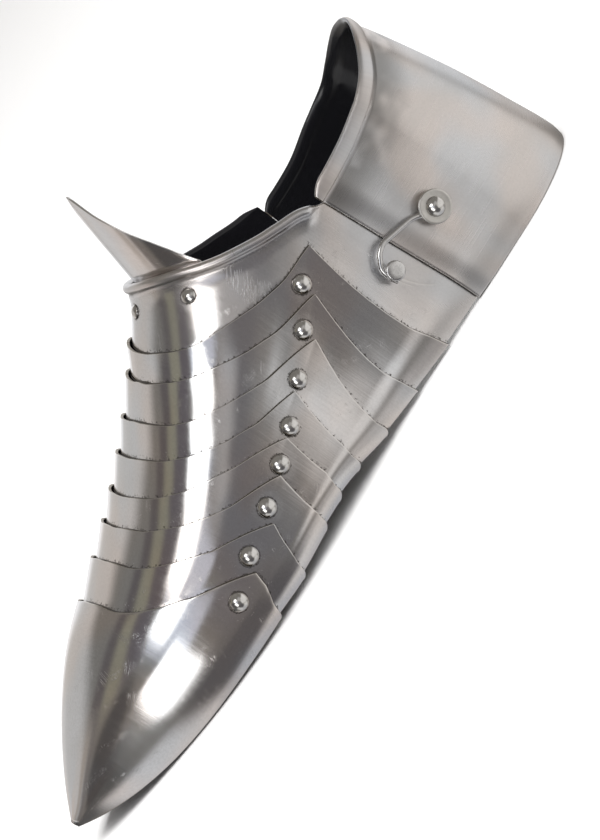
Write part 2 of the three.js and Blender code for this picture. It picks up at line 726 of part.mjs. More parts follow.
function leafRivets(forward, plate, name) {
  let solid = leaf(forward);
  for (const [i, z] of [
    [0, h.low + h.rivetUp],
    [1, h.high - h.rivetUp],
  ]) {
    const s = h.s + (forward ? h.rivetAt : -h.rivetAt);
    const at = toWorld(s, leafFace, z);
    const plateFace = forward ? innerFace(s, 180 - angleAt(s, z)) : sideAt(z);
    solid = solid.subtract(drill(at, INNER, SMALL_RIVET.hole));
    plate = plate.subtract(drill(at, INNER, SMALL_RIVET.hole));
    const grip = -leafFace - plateFace + PLATE + 2 * GAP;
    add(placed(rivet(SMALL_RIVET, grip), at, INNER), name + "_rivet_" + (i + 1));
  }
  add(solid, name);
  return plate;
}
let instep = instepPlate();
instep = instep.subtract(drill(studAt.clone().setY(instepOuter), OUTER, HOOK.neck + GAP));
instep = leafRivets(true, instep, "hinge_leaf_instep");
heel = leafRivets(false, heel, "hinge_leaf_heel");
add(instep, "instep_plate");
add(heel, "heel_plate");

export default group;
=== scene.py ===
"""The finish of one steel sabaton for the left foot, with its floor, lights and camera.

The forms are worked out from the same sizes as the solids, in millimetres, with +X to the toe and +Y to the
outer side.
"""

import math

import bpy
import numpy as np
from bpy.props import FloatProperty, FloatVectorProperty, IntProperty, PointerProperty
from mathutils import Matrix, Vector


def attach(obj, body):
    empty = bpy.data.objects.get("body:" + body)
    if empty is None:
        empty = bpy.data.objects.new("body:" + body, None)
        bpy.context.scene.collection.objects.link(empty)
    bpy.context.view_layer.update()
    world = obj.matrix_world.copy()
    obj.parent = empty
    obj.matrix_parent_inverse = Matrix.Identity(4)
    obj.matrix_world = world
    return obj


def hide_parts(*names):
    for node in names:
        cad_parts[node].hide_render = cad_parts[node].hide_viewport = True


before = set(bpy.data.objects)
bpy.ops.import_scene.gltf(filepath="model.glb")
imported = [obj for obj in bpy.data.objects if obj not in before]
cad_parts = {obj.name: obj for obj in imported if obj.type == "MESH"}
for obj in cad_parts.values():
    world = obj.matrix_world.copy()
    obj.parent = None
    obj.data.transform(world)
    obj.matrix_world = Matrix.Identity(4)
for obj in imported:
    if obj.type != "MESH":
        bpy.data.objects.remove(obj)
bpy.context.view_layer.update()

bl_info = {
    "name": "Steel sabaton",
    "version": (1, 0, 0),
    "blender": (4, 5, 0),
    "location": "View3D > Sidebar > Sabaton",
    "description": "Builds the finished plates, rivets, hook and hinge of a steel sabaton round its solids",
    "category": "Object",
}

# Overall sizes in millimetres. s is measured forward from the back of the heel.
MM = 0.001
MIDDLE = 162.5
PLATE = 1.2
GAP = 0.3

# The outer shape of the foot: half width, height of the ridge, of the widest line and of the lower edge.
FOOT = {
    "s": [68, 84, 100, 125, 146, 166, 185, 205, 225, 250, 270, 290, 308, 320, 326.3],
    "half_width": [40.2, 41.0, 41.5, 43.0, 45.5, 48.5, 51.0, 52.5, 52.0, 47.0, 39.5, 29.0, 17.5, 8.0, 0.6],
    "ridge": [216, 192, 162.4, 126.5, 107.2, 92.2, 81.5, 71.8, 63.9, 56.2, 49.8, 39.6, 27.6, 17.9, 12.2],
    "widest": [19, 18.8, 18.6, 18.4, 18.2, 18, 16.8, 15.7, 14.5, 13.8, 13.1, 12.9, 13.3, 13.2, 11.5],
    "lower": [0.4, 0.6, 1.3, 2.3, 3.8, 6.9, 5.8, 3.3, 2.4, 1.7, 1.1, 1.7, 4.5, 8.1, 10.8],
}
ROUND_SIDE = 0.95
ROUND_TOP = 0.85
TUCK = 0.08

# Rear edges of the lames and of the toe cap: s at each angle round the foot, which is 90 at the ridge and
# -90 at the lower edge. "sag" is how far an edge bows forward below the ear, "corner" the radius of its lower
# corner.
EDGE_ANGLES = [-90, -45, 0, "ear", 21, 25, 30, 37, 46, 58, 73, 81]
EDGES = [
    {"ear": 17, "sag": 3.3, "corner": 0.0,
     "s": [100.9, 101.7, 102.9, 102.0, 116.3, 125.4, 134.5, 144.4, 154.4, 161.6, 165.5, 166.1]},
    {"ear": 15, "sag": 3.3, "corner": 0.6,
     "s": [122.6, 122.6, 122.7, 116.2, 133.8, 141.6, 149.5, 157.2, 165.1, 171.7, 175.4, 175.5]},
    {"ear": 13, "sag": 2.5, "corner": 3.0,
     "s": [141.6, 141.6, 139.6, 130.5, 151.4, 158.4, 165.4, 173.1, 180.9, 186.6, 188.8, 188.9]},
    {"ear": 14, "sag": 1.4, "corner": 3.6,
     "s": [158.5, 158.4, 156.6, 151.7, 168.2, 174.2, 180.8, 187.5, 193.9, 199.0, 201.2, 201.7]},
    {"ear": 12, "sag": 0.9, "corner": 3.8,
     "s": [172.2, 171.8, 169.6, 168.2, 182.2, 188.0, 193.6, 200.6, 207.0, 212.3, 214.7, 215.2]},
    {"ear": 10, "sag": 0.6, "corner": 3.2,
     "s": [185.5, 184.9, 183.9, 181.5, 199.9, 204.5, 209.5, 214.9, 219.9, 224.3, 226.0, 226.6]},
    {"ear": 6, "sag": 0.5, "corner": 2.4,
     "s": [205.5, 204.1, 201.5, 198.0, 217.1, 220.8, 224.8, 229.6, 234.6, 238.2, 238.9, 239.2]},
    {"ear": 4, "sag": 0.3, "corner": 1.6,
     "s": [223.6, 222.0, 218.1, 216.7, 236.4, 239.4, 243.3, 247.8, 251.9, 254.8, 255.0, 255.2]},
]
# The tables end at the crown. The inner side mirrors them, at the crown up to the first of these angles and
# at the ridge from the second.
CROWN = 81
MIRROR_SHIFT = (100, 150)
PLATES = len(EDGES)
# How far a lame runs on past the rear edge of the next plate but one, and the last one past the toe cap's.
LAME_REACH = 1.5
LAST_REACH = 16
# How far the ears are smoothed away in the height of the faces: turns and their weights.
EAR_EASING = ((-10, 0.08), (-6.5, 0.14), (-3, 0.18), (0, 0.2), (3, 0.18), (6.5, 0.14), (10, 0.08))
# How far out of the foot shape a plate's rear edge lies, and how much lower its face is where the next plate
# covers it, at the side and at the ridge.
RAISE = 1.7
STEP_SIDE = 1.9
STEP_RIDGE = 2.2

# The edges of the plates: their radius, how square their section is and the points round them.
ROUNDING = 0.3
EDGE_POWER = 4.0
EDGE_POINTS = 7
# Where columns and rows of points lie close together: at the lower edges, at the ears and at the rear edge.
LOWER_COLUMNS = [-90, -89.6, -88.6, -87]
EAR_COLUMN = 0.4
LAME_ROWS = [0.0, 0.012, 0.03, 0.06]
TOE_CLOSE = 0.8
# How far from a rear edge, and along it in degrees, its directions are measured.
AHEAD = 4
LAME_NEAR = 0.3
RIM_NEAR = 0.8

# Hinge rivets, one a side for each lame and the toe cap: s and height.
HINGES = {
    "s": [115.8, 130.0, 146.9, 163.7, 177.9, 194.3, 213.0, 229.1],
    "z": [62.3, 52.7, 44.7, 38.2, 34.1, 29.9, 25.8, 19.8],
}
RIVET = {"head": 3.75, "rise": 2.3, "shank": 1.5, "tail": 2.6, "tail_thick": 0.8}
SMALL_RIVET = {"head": 2.9, "rise": 1.2, "shank": 1.2, "tail": 2.0, "tail_thick": 0.6}
# The height of the rim of a rivet's ball above its plate, and the foot of its head.
SEAT = 0.42
HEAD = {"lift": 0.05, "wall": 0.3, "rim_share": 0.985, "steps": 10}
GRIP = 2 * PLATE + (STEP_SIDE - PLATE) + 2 * GAP

# The rim of the instep plate, its roll, and the plain back edges below it.
RIM_ANGLES = [15.2, 18.7, 22.8, 27.5, 33.9, 41, 50, 64, 78, 90]
RIM_S = [86.4, 92.7, 101.2, 109.4, 117.8, 125.1, 132.0, 139.6, 144.0, 145.4]
SEAM = 83.0
SEAM_HALF = 0.1
RIM_S_INNER = [SEAM + 2 * SEAM_HALF] + RIM_S[1:]
# The roll's radius and how far its middle is set forward. It grows over some degrees from the rim's end.
RIM_ROLL = 2.0
RIM_SET = 1.4
RIM_GROWTH = 2.2
# The fillet between roll and plate: its height, where it starts and how wide it is.
RIM_FILLET = 0.9
FILLET_START = 2.2
FILLET_WIDE = 5
# The rim's mesh: columns more than on a lame, points round the roll, its round section, and the first rows.
RIM_COLUMNS = 14
RIM_POINTS = 25
ROUND_POWER = 2.0
INSTEP_ROWS = [0.0, 0.015, 0.04, 0.08]
FIRST_ROW = 0.2
FIRST_ROW_AT_ROLL = 3.0
# How far round a roll the polish goes, and how far in front of the tongue.
POLISHED = 0.54
POLISHED_FRONT = 0.8
BACK_ANGLES = [-90, -45, 0, 12, 15.2]
BACK_OUTER = [70.5, 72, 74, 77, RIM_S[0]]
BACK_INNER = [SEAM + SEAM_HALF] * 4 + [RIM_S_INNER[0]]

# The heel plate: profile of the back, side offset, front edges and rim. "fraction" is the share of the way
# forward along a side, "curve" the turn round the back, "close" how far the outer front edge is drawn in.
HEEL = {
    "z": [0, 5, 20, 50, 80, 96],
    "back": [-2.6, -3.1, -1.4, 3.0, 9.3, 13.4],
    "curve_start": 46,
    "outer_offset": 1.9,
    "close": 0.55,
    "close_from": 0.72,
    "roundness": 0.95,
    "side_length": 36,
    "front_z": [0, 46, 77],
    "front_outer": [78.8, 83.0, 85.4],
    "front_inner": SEAM - SEAM_HALF,
    "arch": 0.5,
    "fraction": [0, 0.35, 0.7, 1],
    "rim_outer": [80.8, 78.0, 76.5, 75.8],
    "rim_inner": [73.6, 70.8, 70.0, 70.2],
    "curve": [0, 15, 30, 45, 60, 75, 90],
    "curve_outer": [80.8, 84.2, 88.5, 92.2, 94.2, 94.6, 94.0],
    "curve_inner": [73.6, 75.7, 78.5, 83.4, 88.2, 92.0, 94.0],
    "side_s": 84,
}
# The hem: half its thickness and height, how far it is set out, and how it drops and thins at its ends.
HEEL_ROLL = {
    "out": 1.3,
    "high": 3.1,
    "set": 1.0,
    "below": 0.25,
    "end_from": 0.82,
    "end_lower": 0.4,
    "end_thinner": 0.2,
}
HEEL_ROWS = [0, 0.001, 0.004, 0.012, 0.03]
HEM_POWER = 2.6
HEM_POINTS = 33

# The tongue: height above the rim at each angle, how it leans, its reach below the rim and its depth behind
# the plate's face.
TONGUE = {
    "angle": [46, 52, 60, 70, 80, 90],
    "rise": [1.5, 8, 16, 24.5, 33.5, 43.5],
    "lean": [-0.25, 0.0, 0.96],
    "below": 17,
    "depth": PLATE + 0.75,
    "columns": 26,
    "mm_a_degree": 0.8,
    "lay_length": 40,
}
TONGUE_RIVETS = [
    {"name": "tongue_rivet_outer", "angle": 52, "s": 142},
    {"name": "tongue_rivet_middle", "angle": 90, "s": 153.5},
    {"name": "tongue_rivet_inner", "angle": 128, "s": 142},
]

# The hook, as s and height in its plane, and the studs it works on. The wire's points near the bend and in
# the shank are given from the bend and the pivot, and turns are in radians.
HOOK = {
    "pivot": (62.5, 36.7),
    "bend": (87.6, 45.8),
    "stud": (91.8, 36.3),
    "stand": 0.95,
    "wire": 1.2,
    "neck": 1.1,
    "clear": 0.35,
    "eye": 2.9,
    "eye_open": 0.5,
    "shank": (8, 4.6),
    "bend_in": (-1.6, -0.1),
    "bend_out": (2.2, -1.3),
    "bend_radius": 3.4,
    "end_before": 0.13,
    "end_turn": 0.25,
    "shortest": 0.25,
    "washer": 6.75,
    "washer_thick": 1.2,
    "washer_hole": 1.5,
    "washer_flat": 4.6,
    "stud_head": 4.0,
    "stud_thick": 2.0,
    "stud_angle": 15,
}
PIVOT_DOME = {"head": 3.9, "rise": 2.2, "shank": 1.2, "tail": 2.6, "tail_thick": 0.8}
WASHER_COLOUR = (0.70, 0.685, 0.65)
# The side hinge on the inner side: its heights, barrel, leaves, rivets and pin.
SIDE_HINGE = {
    "clear": 0.7,
    "low": 18,
    "high": 54,
    "barrel": 2.4,
    "pin": 1.0,
    "leaf": 1.0,
    "reach": 15,
    "lead": 0.8,
    "rivet_at": 11.5,
    "rivet_up": 8,
    "bore": 1.3,
    "strap": 2.2,
    "strap_in": 0.02,
    "strap_round": 0.3,
    "leaf_round": 1.5,
    "pin_past": 1.2,
    "pin_head": 1.9,
}
# Where a leaf starts, as a share of the barrel, and the rounding of the hinge's edges and corners.
LEAF_START = 0.55
KNUCKLE_EDGE = 0.25
CORNER_STEPS = 4
BEVEL = 0.18

# Finishes of the small pieces: roughness, scale of the spots, and how much dirt lies at their foot.
SMALL_FINISHES = {
    "rivet_steel": (0.15, 0.45, 0.8),
    "hook_wire_steel": (0.18, 0.3, 0.0),
    "washer_steel": (0.36, 0.25, 0.0),
    "stud_steel": (0.26, 0.35, 0.6),
    "hinge_steel": (0.27, 0.3, 0.5),
}
# Turned pieces: how many sides they have, how far from round they are, and the seed of their unevenness.
TURNED = {
    "washer": (48, 0.002, 41),
    "pivot": (48, 0.004, 42),
    "stud": (44, 0.006, 43),
    "knuckle": (36, 0.0, 0),
    "pin": (32, 0.0, 0),
}
LEAF_SEED = 50
WIRE_SIDES = 20
WIRE_END = 0.6
# Angles in degrees over which an edge is sharp.
SHARP = {"leaf": 35, "turned": 40, "wire": 50}

# Distances kept on points that have no such place near them.
NO_SEAM = 60.0
NO_RIVET = 99.0
NO_RIM = 40.0
NO_FRONT = 40.0
NO_EDGE = 30.0


# Curves through tables.

def smooth(xs, ys, x):
    """A smooth curve through a table, by slopes between neighbours."""
    xs = np.asarray(xs, float)
    ys = np.asarray(ys, float)
    x = np.clip(np.asarray(x, float), xs[0], xs[-1])
    i = np.searchsorted(xs[1:-1], x, side="left")
    last = len(xs) - 1
    before = np.maximum(np.arange(last + 1) - 1, 0)
    after = np.minimum(np.arange(last + 1) + 1, last)
    slope = (ys[after] - ys[before]) / (xs[after] - xs[before])
    h = xs[i + 1] - xs[i]
    t = (x - xs[i]) / h
    t2 = t * t
    t3 = t2 * t
    start = (2 * t3 - 3 * t2 + 1) * ys[i] + (t3 - 2 * t2 + t) * h * slope[i]
    return start + (-2 * t3 + 3 * t2) * ys[i + 1] + (t3 - t2) * h * slope[i + 1]


def eased(x, low, high):
    """A share that grows from 0 at low to 1 at high, gently at both ends."""
    t = np.clip((x - low) / (high - low), 0, 1)
    return t * t * (3 - 2 * t)


FAIRING = 4.0
FAIR_STEP = 0.5
FAIR_S = np.arange(FOOT["s"][0], FOOT["s"][-1] + FAIR_STEP / 2, FAIR_STEP)


def faired(column):
    """A foot table as a dense curve with its small kinks smoothed away, for reflections that run evenly."""
    dense = smooth(FOOT["s"], FOOT[column], FAIR_S)
    reach = int(3 * FAIRING / FAIR_STEP)
    weight = np.exp(-0.5 * (np.arange(-reach, reach + 1) * FAIR_STEP / FAIRING) ** 2)
    front = 2 * dense[-1] - dense[-2:-reach - 2:-1]
    back = 2 * dense[0] - dense[reach:0:-1]
    padded = np.concatenate([back, dense, front])
    return np.convolve(padded, weight / weight.sum(), mode="valid")


FAIR = {column: faired(column) for column in ("half_width", "ridge", "widest", "lower")}


def foot_size(column, s):
    """A size of the foot shape at s."""
    return np.interp(s, FAIR_S, FAIR[column])


# The foot shape and the plates' offsets from it.

def folded(angle):
    """The angle of the same place on the outer side."""
    return np.where(angle > 90, 180 - angle, angle)


def foot(s, angle):
    """Points of the foot shape.

    The angle runs from -90 at the outer lower edge over 90 at the ridge to 270 at the inner lower edge.
    """
    s, angle = np.broadcast_arrays(np.asarray(s, float), np.asarray(angle, float))
    side = np.where(angle > 90, -1.0, 1.0)
    a = folded(angle)
    width = foot_size("half_width", s)
    ridge = foot_size("ridge", s)
    widest = foot_size("widest", s)
    lower = foot_size("lower", s)
    turn = np.radians(np.clip(a, 0, 90))
    across = np.maximum(np.cos(turn), 0) ** ROUND_SIDE
    upward = np.maximum(np.sin(turn), 0) ** ROUND_TOP
    under = np.clip(-a / 90, 0, 1)
    y = side * width * np.where(a >= 0, across, 1 - TUCK * under * under)
    z = np.where(a >= 0, widest + (ridge - widest) * upward, widest - (widest - lower) * under)
    return np.stack([s, y, z], -1)


def unit(v):
    return v / np.maximum(np.linalg.norm(v, axis=-1, keepdims=True), 1e-12)


# Steps over which a face's direction is measured.
PROBE_S = 1.5
PROBE_ANGLE = 2


def outward(s, angle):
    """The direction out of the foot shape."""
    start = np.clip(np.asarray(s, float) - 1, FOOT["s"][0], FOOT["s"][-1] - PROBE_S)
    along = foot(start + PROBE_S, angle) - foot(start, angle)
    turn = np.clip(angle, -90 + PROBE_ANGLE, 270 - PROBE_ANGLE)
    round_foot = foot(s, turn + PROBE_ANGLE) - foot(s, turn - PROBE_ANGLE)
    return unit(np.cross(round_foot, along))


def shape(s, angle, offset):
    """The foot shape moved out by an offset, with the origin at the middle of the length."""
    s, angle, offset = np.broadcast_arrays(*(np.asarray(v, float) for v in (s, angle, offset)))
    p = foot(s, angle) + outward(s, angle) * offset[..., None]
    p[..., 0] -= MIDDLE
    return p


def angle_at(s, z):
    """The angle round the foot at a height, on the outer side above the widest line."""
    widest = foot_size("widest", s)
    share = np.clip((z - widest) / (foot_size("ridge", s) - widest), 0, 1)
    return np.degrees(np.arcsin(share ** (1 / ROUND_TOP)))


def lower_edge_distance(s, angle):
    """Distance up from the nearer lower edge."""
    tall = foot_size("widest", s) - foot_size("lower", s)
    return (folded(angle) + 90) / 90 * tall


def share_up(k, angle):
    """How far up a plate's ear an angle below it lies, from 0 at the lower edge to 1 at the ear."""
    s = EDGES[k]["s"][EDGE_ANGLES.index(0)]
    lowest = foot(s, -90.0)[2]
    return (foot(s, angle)[..., 2] - lowest) / (foot(s, float(EDGES[k]["ear"]))[2] - lowest)


def rear_edge(k, angle, cornered=False):
    """s of the rear edge of plate k, where 0 is the first lame, with its lower corners rounded off or not.

    The inner side mirrors the outer one. Near the top it is mirrored at the crown, lower down at the ridge.
    """
    angle = np.asarray(angle, float)
    mirror = 2 * CROWN - angle + (180 - 2 * CROWN) * eased(angle, *MIRROR_SHIFT)
    a = np.where(angle <= CROWN, angle, mirror)
    edge = EDGES[k]
    i = EDGE_ANGLES.index("ear")
    xs = [edge["ear"] if v == "ear" else v for v in EDGE_ANGLES]
    up = share_up(k, a)
    below = np.interp(a, xs[:i + 1], edge["s"][:i + 1]) + 4 * edge["sag"] * up * (1 - up)
    s = np.where(a <= edge["ear"], below, smooth(xs[i:], edge["s"][i:], a))
    if cornered and edge["corner"]:
        radius = edge["corner"]
        left = np.clip(radius - lower_edge_distance(s, angle), 0, radius)
        s = s + radius - np.sqrt(radius ** 2 - left ** 2)
    return s


def eased_edge(k, angle):
    """The rear edge with its ears rounded away, for the height of a plate's face, which has no crease."""
    angle = np.asarray(angle, float)
    return sum(weight * rear_edge(k, np.clip(angle + turn, -90, 270)) for turn, weight in EAR_EASING)


def step_at(angle):
    return STEP_SIDE + (STEP_RIDGE - STEP_SIDE) * np.maximum(np.sin(np.radians(angle)), 0) ** 2


def raised(k, s, angle):
    """The offset of the outer face of plate k at s: -1 is the instep plate, 7 the toe cap."""
    if k == PLATES - 1:
        return np.full(np.broadcast(s, angle).shape, RAISE)
    step = step_at(angle)
    following = eased_edge(k + 1, angle)
    if k < 0:
        visible = RAISE - step
    else:
        start = eased_edge(k, angle)
        visible = RAISE - step * (s - start) / (following - start)
    if k + 2 >= PLATES:
        hidden = RAISE - step
    else:
        hidden = RAISE - step - step * (s - following) / (eased_edge(k + 2, angle) - following)
    return np.where(s <= following, visible, hidden)


def face_out(k, s, angle):
    """The direction out of the outer face of plate k."""
    def at(ds, da):
        return shape(s + ds, angle + da, raised(k, s + ds, angle + da))
    return unit(np.cross(at(0, PROBE_ANGLE) - at(0, -PROBE_ANGLE), at(PROBE_S, 0) - at(-PROBE_S, 0)))


def hinge_place(k, side):
    """Base point and direction of a hinge rivet: side 0 is the outer one, 1 the inner one."""
    s = HINGES["s"][k]
    angle = float(angle_at(s, HINGES["z"][k]))
    angle = 180 - angle if side else angle
    return shape(s, angle, raised(k, s, angle)), face_out(k, s, angle)


# Plates as closed loops round their rear edge.

def edge_bead(centre, inward, out, half_across, half_out, y_out, y_in, power, count):
    """Points round a rolled or rounded edge, from the plate's outer face over the edge to its inner face.

    centre, inward and out are one row a column, half_across and half_out half sizes of the edge's section.
    """
    half_across, half_out, y_out, y_in = (
        np.broadcast_to(v, centre.shape[:1]).astype(float) for v in (half_across, half_out, y_out, y_in))
    start = np.sign(y_out) * np.arcsin(np.clip(np.abs(y_out / half_out), 0, 1) ** (power / 2))
    end = 2 * np.pi - np.arcsin(np.clip(np.abs(y_in / half_out), 0, 1) ** (power / 2))
    turn = start[:, None] + (end - start)[:, None] * np.linspace(0, 1, count)
    flat = 2 / power
    across = np.sign(np.cos(turn)) * np.abs(np.cos(turn)) ** flat * half_across[:, None]
    upward = np.sign(np.sin(turn)) * np.abs(np.sin(turn)) ** flat * half_out[:, None]
    return centre[:, None] + inward[:, None] * across[..., None] + out[:, None] * upward[..., None]


def edge_frame(before, after, out, plate_side):
    """Directions at an edge: away from it along the plate, and out of the plate."""
    along = unit(after - before)
    out = unit(out - along * (out * along).sum(-1, keepdims=True))
    inward = np.cross(along, out)
    sign = np.sign((inward * plate_side).sum(-1, keepdims=True))
    return inward * sign, out


def inset(distance):
    """How far a face sinks at a distance from a rounded edge."""
    d = np.clip(distance, 0, ROUNDING)
    return ROUNDING - np.sqrt(np.maximum(ROUNDING ** 2 - (ROUNDING - d) ** 2, 0))


def ring_quads(rings, count):
    """Quads between closed rings of points, each ring to the next."""
    faces = []
    for i in range(rings - 1):
        for j in range(count):
            n = (j + 1) % count
            faces.append((i * count + j, i * count + n, (i + 1) * count + n, (i + 1) * count + j))
    return faces


def loop_faces(columns, rows, ring):
    """Quads of a shell whose columns run down the outer face, round the edge and back up the inner face."""
    count = 2 * rows + ring
    faces = ring_quads(columns, count)
    around = (["outer"] * rows + ["edge"] * (ring - 1) + ["inner"] * rows)[:count - 1] + ["edge"]
    parts = around * (columns - 1)
    for j in (0, columns - 1):
        base = j * count
        cap = [(base + i, base + i + 1, base + count - 2 - i, base + count - 1 - i) for i in range(rows - 1)]
        cap.append(tuple(base + i for i in range(rows - 1, rows + ring + 1)))
        faces += [c[::-1] for c in cap] if j else cap
        parts += ["edge"] * len(cap)
    return faces, parts


def rolled_parts(parts, polished, rows, ring):
    """The finishes of a plate with a roll, which is polished up to a share of the way round it."""
    count = 2 * rows + ring
    for n in range((len(polished) - 1) * count):
        place = n % count - rows
        if 0 <= place < ring - 1:
            parts[n] = "outer" if place < ring * polished[n // count] else "inner"
    return parts


def plate_loop(outer, ring, inner):
    """One array of loop points: outer rows, edge points, inner rows back."""
    return np.concatenate([outer, ring, inner[:, ::-1]], 1)


def spread(first, last, count, close=1.0):
    """Steps between two values, closer together towards the first where close is over 1."""
    return first + (last - first) * np.linspace(0, 1, count) ** close


def row_shares(near, rows, close=1.0):
    """Rows from a plate's edge to its far end, as shares: some near the edge, and then an even spread."""
    return np.concatenate([near[:-1], spread(near[-1], 1, rows, close)])


def both_sides(side):
    """Columns round a whole plate from those of its outer half, which end at the ridge."""
    return np.concatenate([side, (180 - side)[:-1][::-1]])


def round_angles(ear, fine):
    """Columns round a plate: close together at the lower edges and at the ears."""
    low = [*LOWER_COLUMNS, *np.linspace(-84, -60, 9), *np.linspace(-52, -8, 6), 0]
    middle = np.linspace(0, ear, 7)[1:-1]
    high = spread(ear + 3 * EAR_COLUMN, 90, fine, 1.15)
    return both_sides(np.concatenate([low, middle, [ear - EAR_COLUMN, ear, ear + EAR_COLUMN], high]))


def measured(points, s, angle, edge, seam, rivets):
    """Facts kept on each point for the finish, such as distances to edges and rivets, and the lay."""
    middle = points[:, points.shape[1] // 4]
    run = np.concatenate([[0], np.cumsum(np.linalg.norm(np.diff(middle, axis=0), axis=-1))])
    run = run - np.interp(90, angle[:, 0], run)
    nearest = np.full(s.shape, NO_RIVET)
    for place in rivets:
        nearest = np.minimum(nearest, np.linalg.norm(points - place, axis=-1))
    lay = np.stack([np.broadcast_to(run[:, None], s.shape), s, np.zeros(s.shape)], -1)
    swing = points[..., [0, 2]] - np.array([HOOK["pivot"][0] - MIDDLE, HOOK["pivot"][1]])
    return {
        "edge_mm": edge,
        "seam_mm": seam,
        "rivet_mm": nearest,
        "lay": lay,
        "rim_mm": np.full(s.shape, NO_RIM),
        "swing": np.concatenate([swing, np.zeros(s.shape + (1,))], -1),
    }


def plate_faces(k, s, angle, lift=0.0):
    """The outer and the inner face of plate k, rounded over at its lower edges. lift raises the outer."""
    face = raised(k, s, angle)
    sink = inset(lower_edge_distance(s, angle))
    return shape(s, angle, face - sink + lift), shape(s, angle, face - PLATE + sink)


def neighbours(angles, reach):
    """The angles a little before and after each column, within the plate."""
    return np.maximum(angles - reach, -90), np.minimum(angles + reach, 270)


def lame_or_cap(k, fine, rows):
    """Points, faces, finishes and facts of lame k, or of the toe cap for the last one."""
    toe = k == PLATES - 1
    angles = round_angles(EDGES[k]["ear"], fine)
    rear = rear_edge(k, angles, True)
    if toe:
        front = np.full(angles.shape, FOOT["s"][-1])
    elif k + 2 < PLATES:
        front = rear_edge(k + 2, angles) + LAME_REACH
    else:
        front = rear_edge(k + 1, angles) + LAST_REACH
    start = rear + ROUNDING
    share = row_shares(LAME_ROWS, rows, TOE_CLOSE if toe else 1.0)
    a = np.repeat(angles[:, None], len(share), 1)
    s = start[:, None] + (front - start)[:, None] * share
    outer, inner = plate_faces(k, s, a)
    half = PLATE / 2
    centre = shape(start, angles, raised(k, rear, angles) - half)
    toward = shape(start + AHEAD, angles, 0) - shape(start, angles, 0)
    behind, ahead = neighbours(angles, LAME_NEAR)
    inward, out = edge_frame(shape(rear_edge(k, behind, True), behind, 0),
                             shape(rear_edge(k, ahead, True), ahead, 0), outward(start, angles), toward)
    height = half - inset(lower_edge_distance(start, angles))
    ring = edge_bead(centre, inward, out, ROUNDING, height, height, -height, EDGE_POWER, EDGE_POINTS + 2)
    points = plate_loop(outer[:, ::-1], ring[:, 1:-1], inner[:, ::-1])
    full_s = plate_loop(s[:, ::-1], np.repeat(start[:, None], EDGE_POINTS, 1), s[:, ::-1])
    full_a = np.repeat(angles[:, None], full_s.shape[1], 1)
    edge = np.minimum(full_s - rear[:, None], lower_edge_distance(full_s, full_a))
    seam = np.full(full_s.shape, NO_SEAM) if toe else rear_edge(k + 1, angles)[:, None] - full_s
    rivets = [hinge_place(k, side)[0] for side in (0, 1)]
    facts = measured(points, full_s, full_a, edge, seam, rivets)
    faces, parts = loop_faces(len(angles), len(share), EDGE_POINTS)
    return points, faces, parts, facts


def rim_at(angle):
    """s of the rim of the instep plate."""
    a = folded(angle)
    return np.where(angle > 90, smooth(RIM_ANGLES, RIM_S_INNER, a), smooth(RIM_ANGLES, RIM_S, a))


def back_edge(angle):
    """s of the back edge of the instep plate below the rim, and of the rim above it."""
    a = folded(angle)
    inner, outer = np.interp(a, BACK_ANGLES, BACK_INNER), np.interp(a, BACK_ANGLES, BACK_OUTER)
    return np.where(a >= RIM_ANGLES[0], rim_at(angle), np.where(angle > 90, inner, outer))


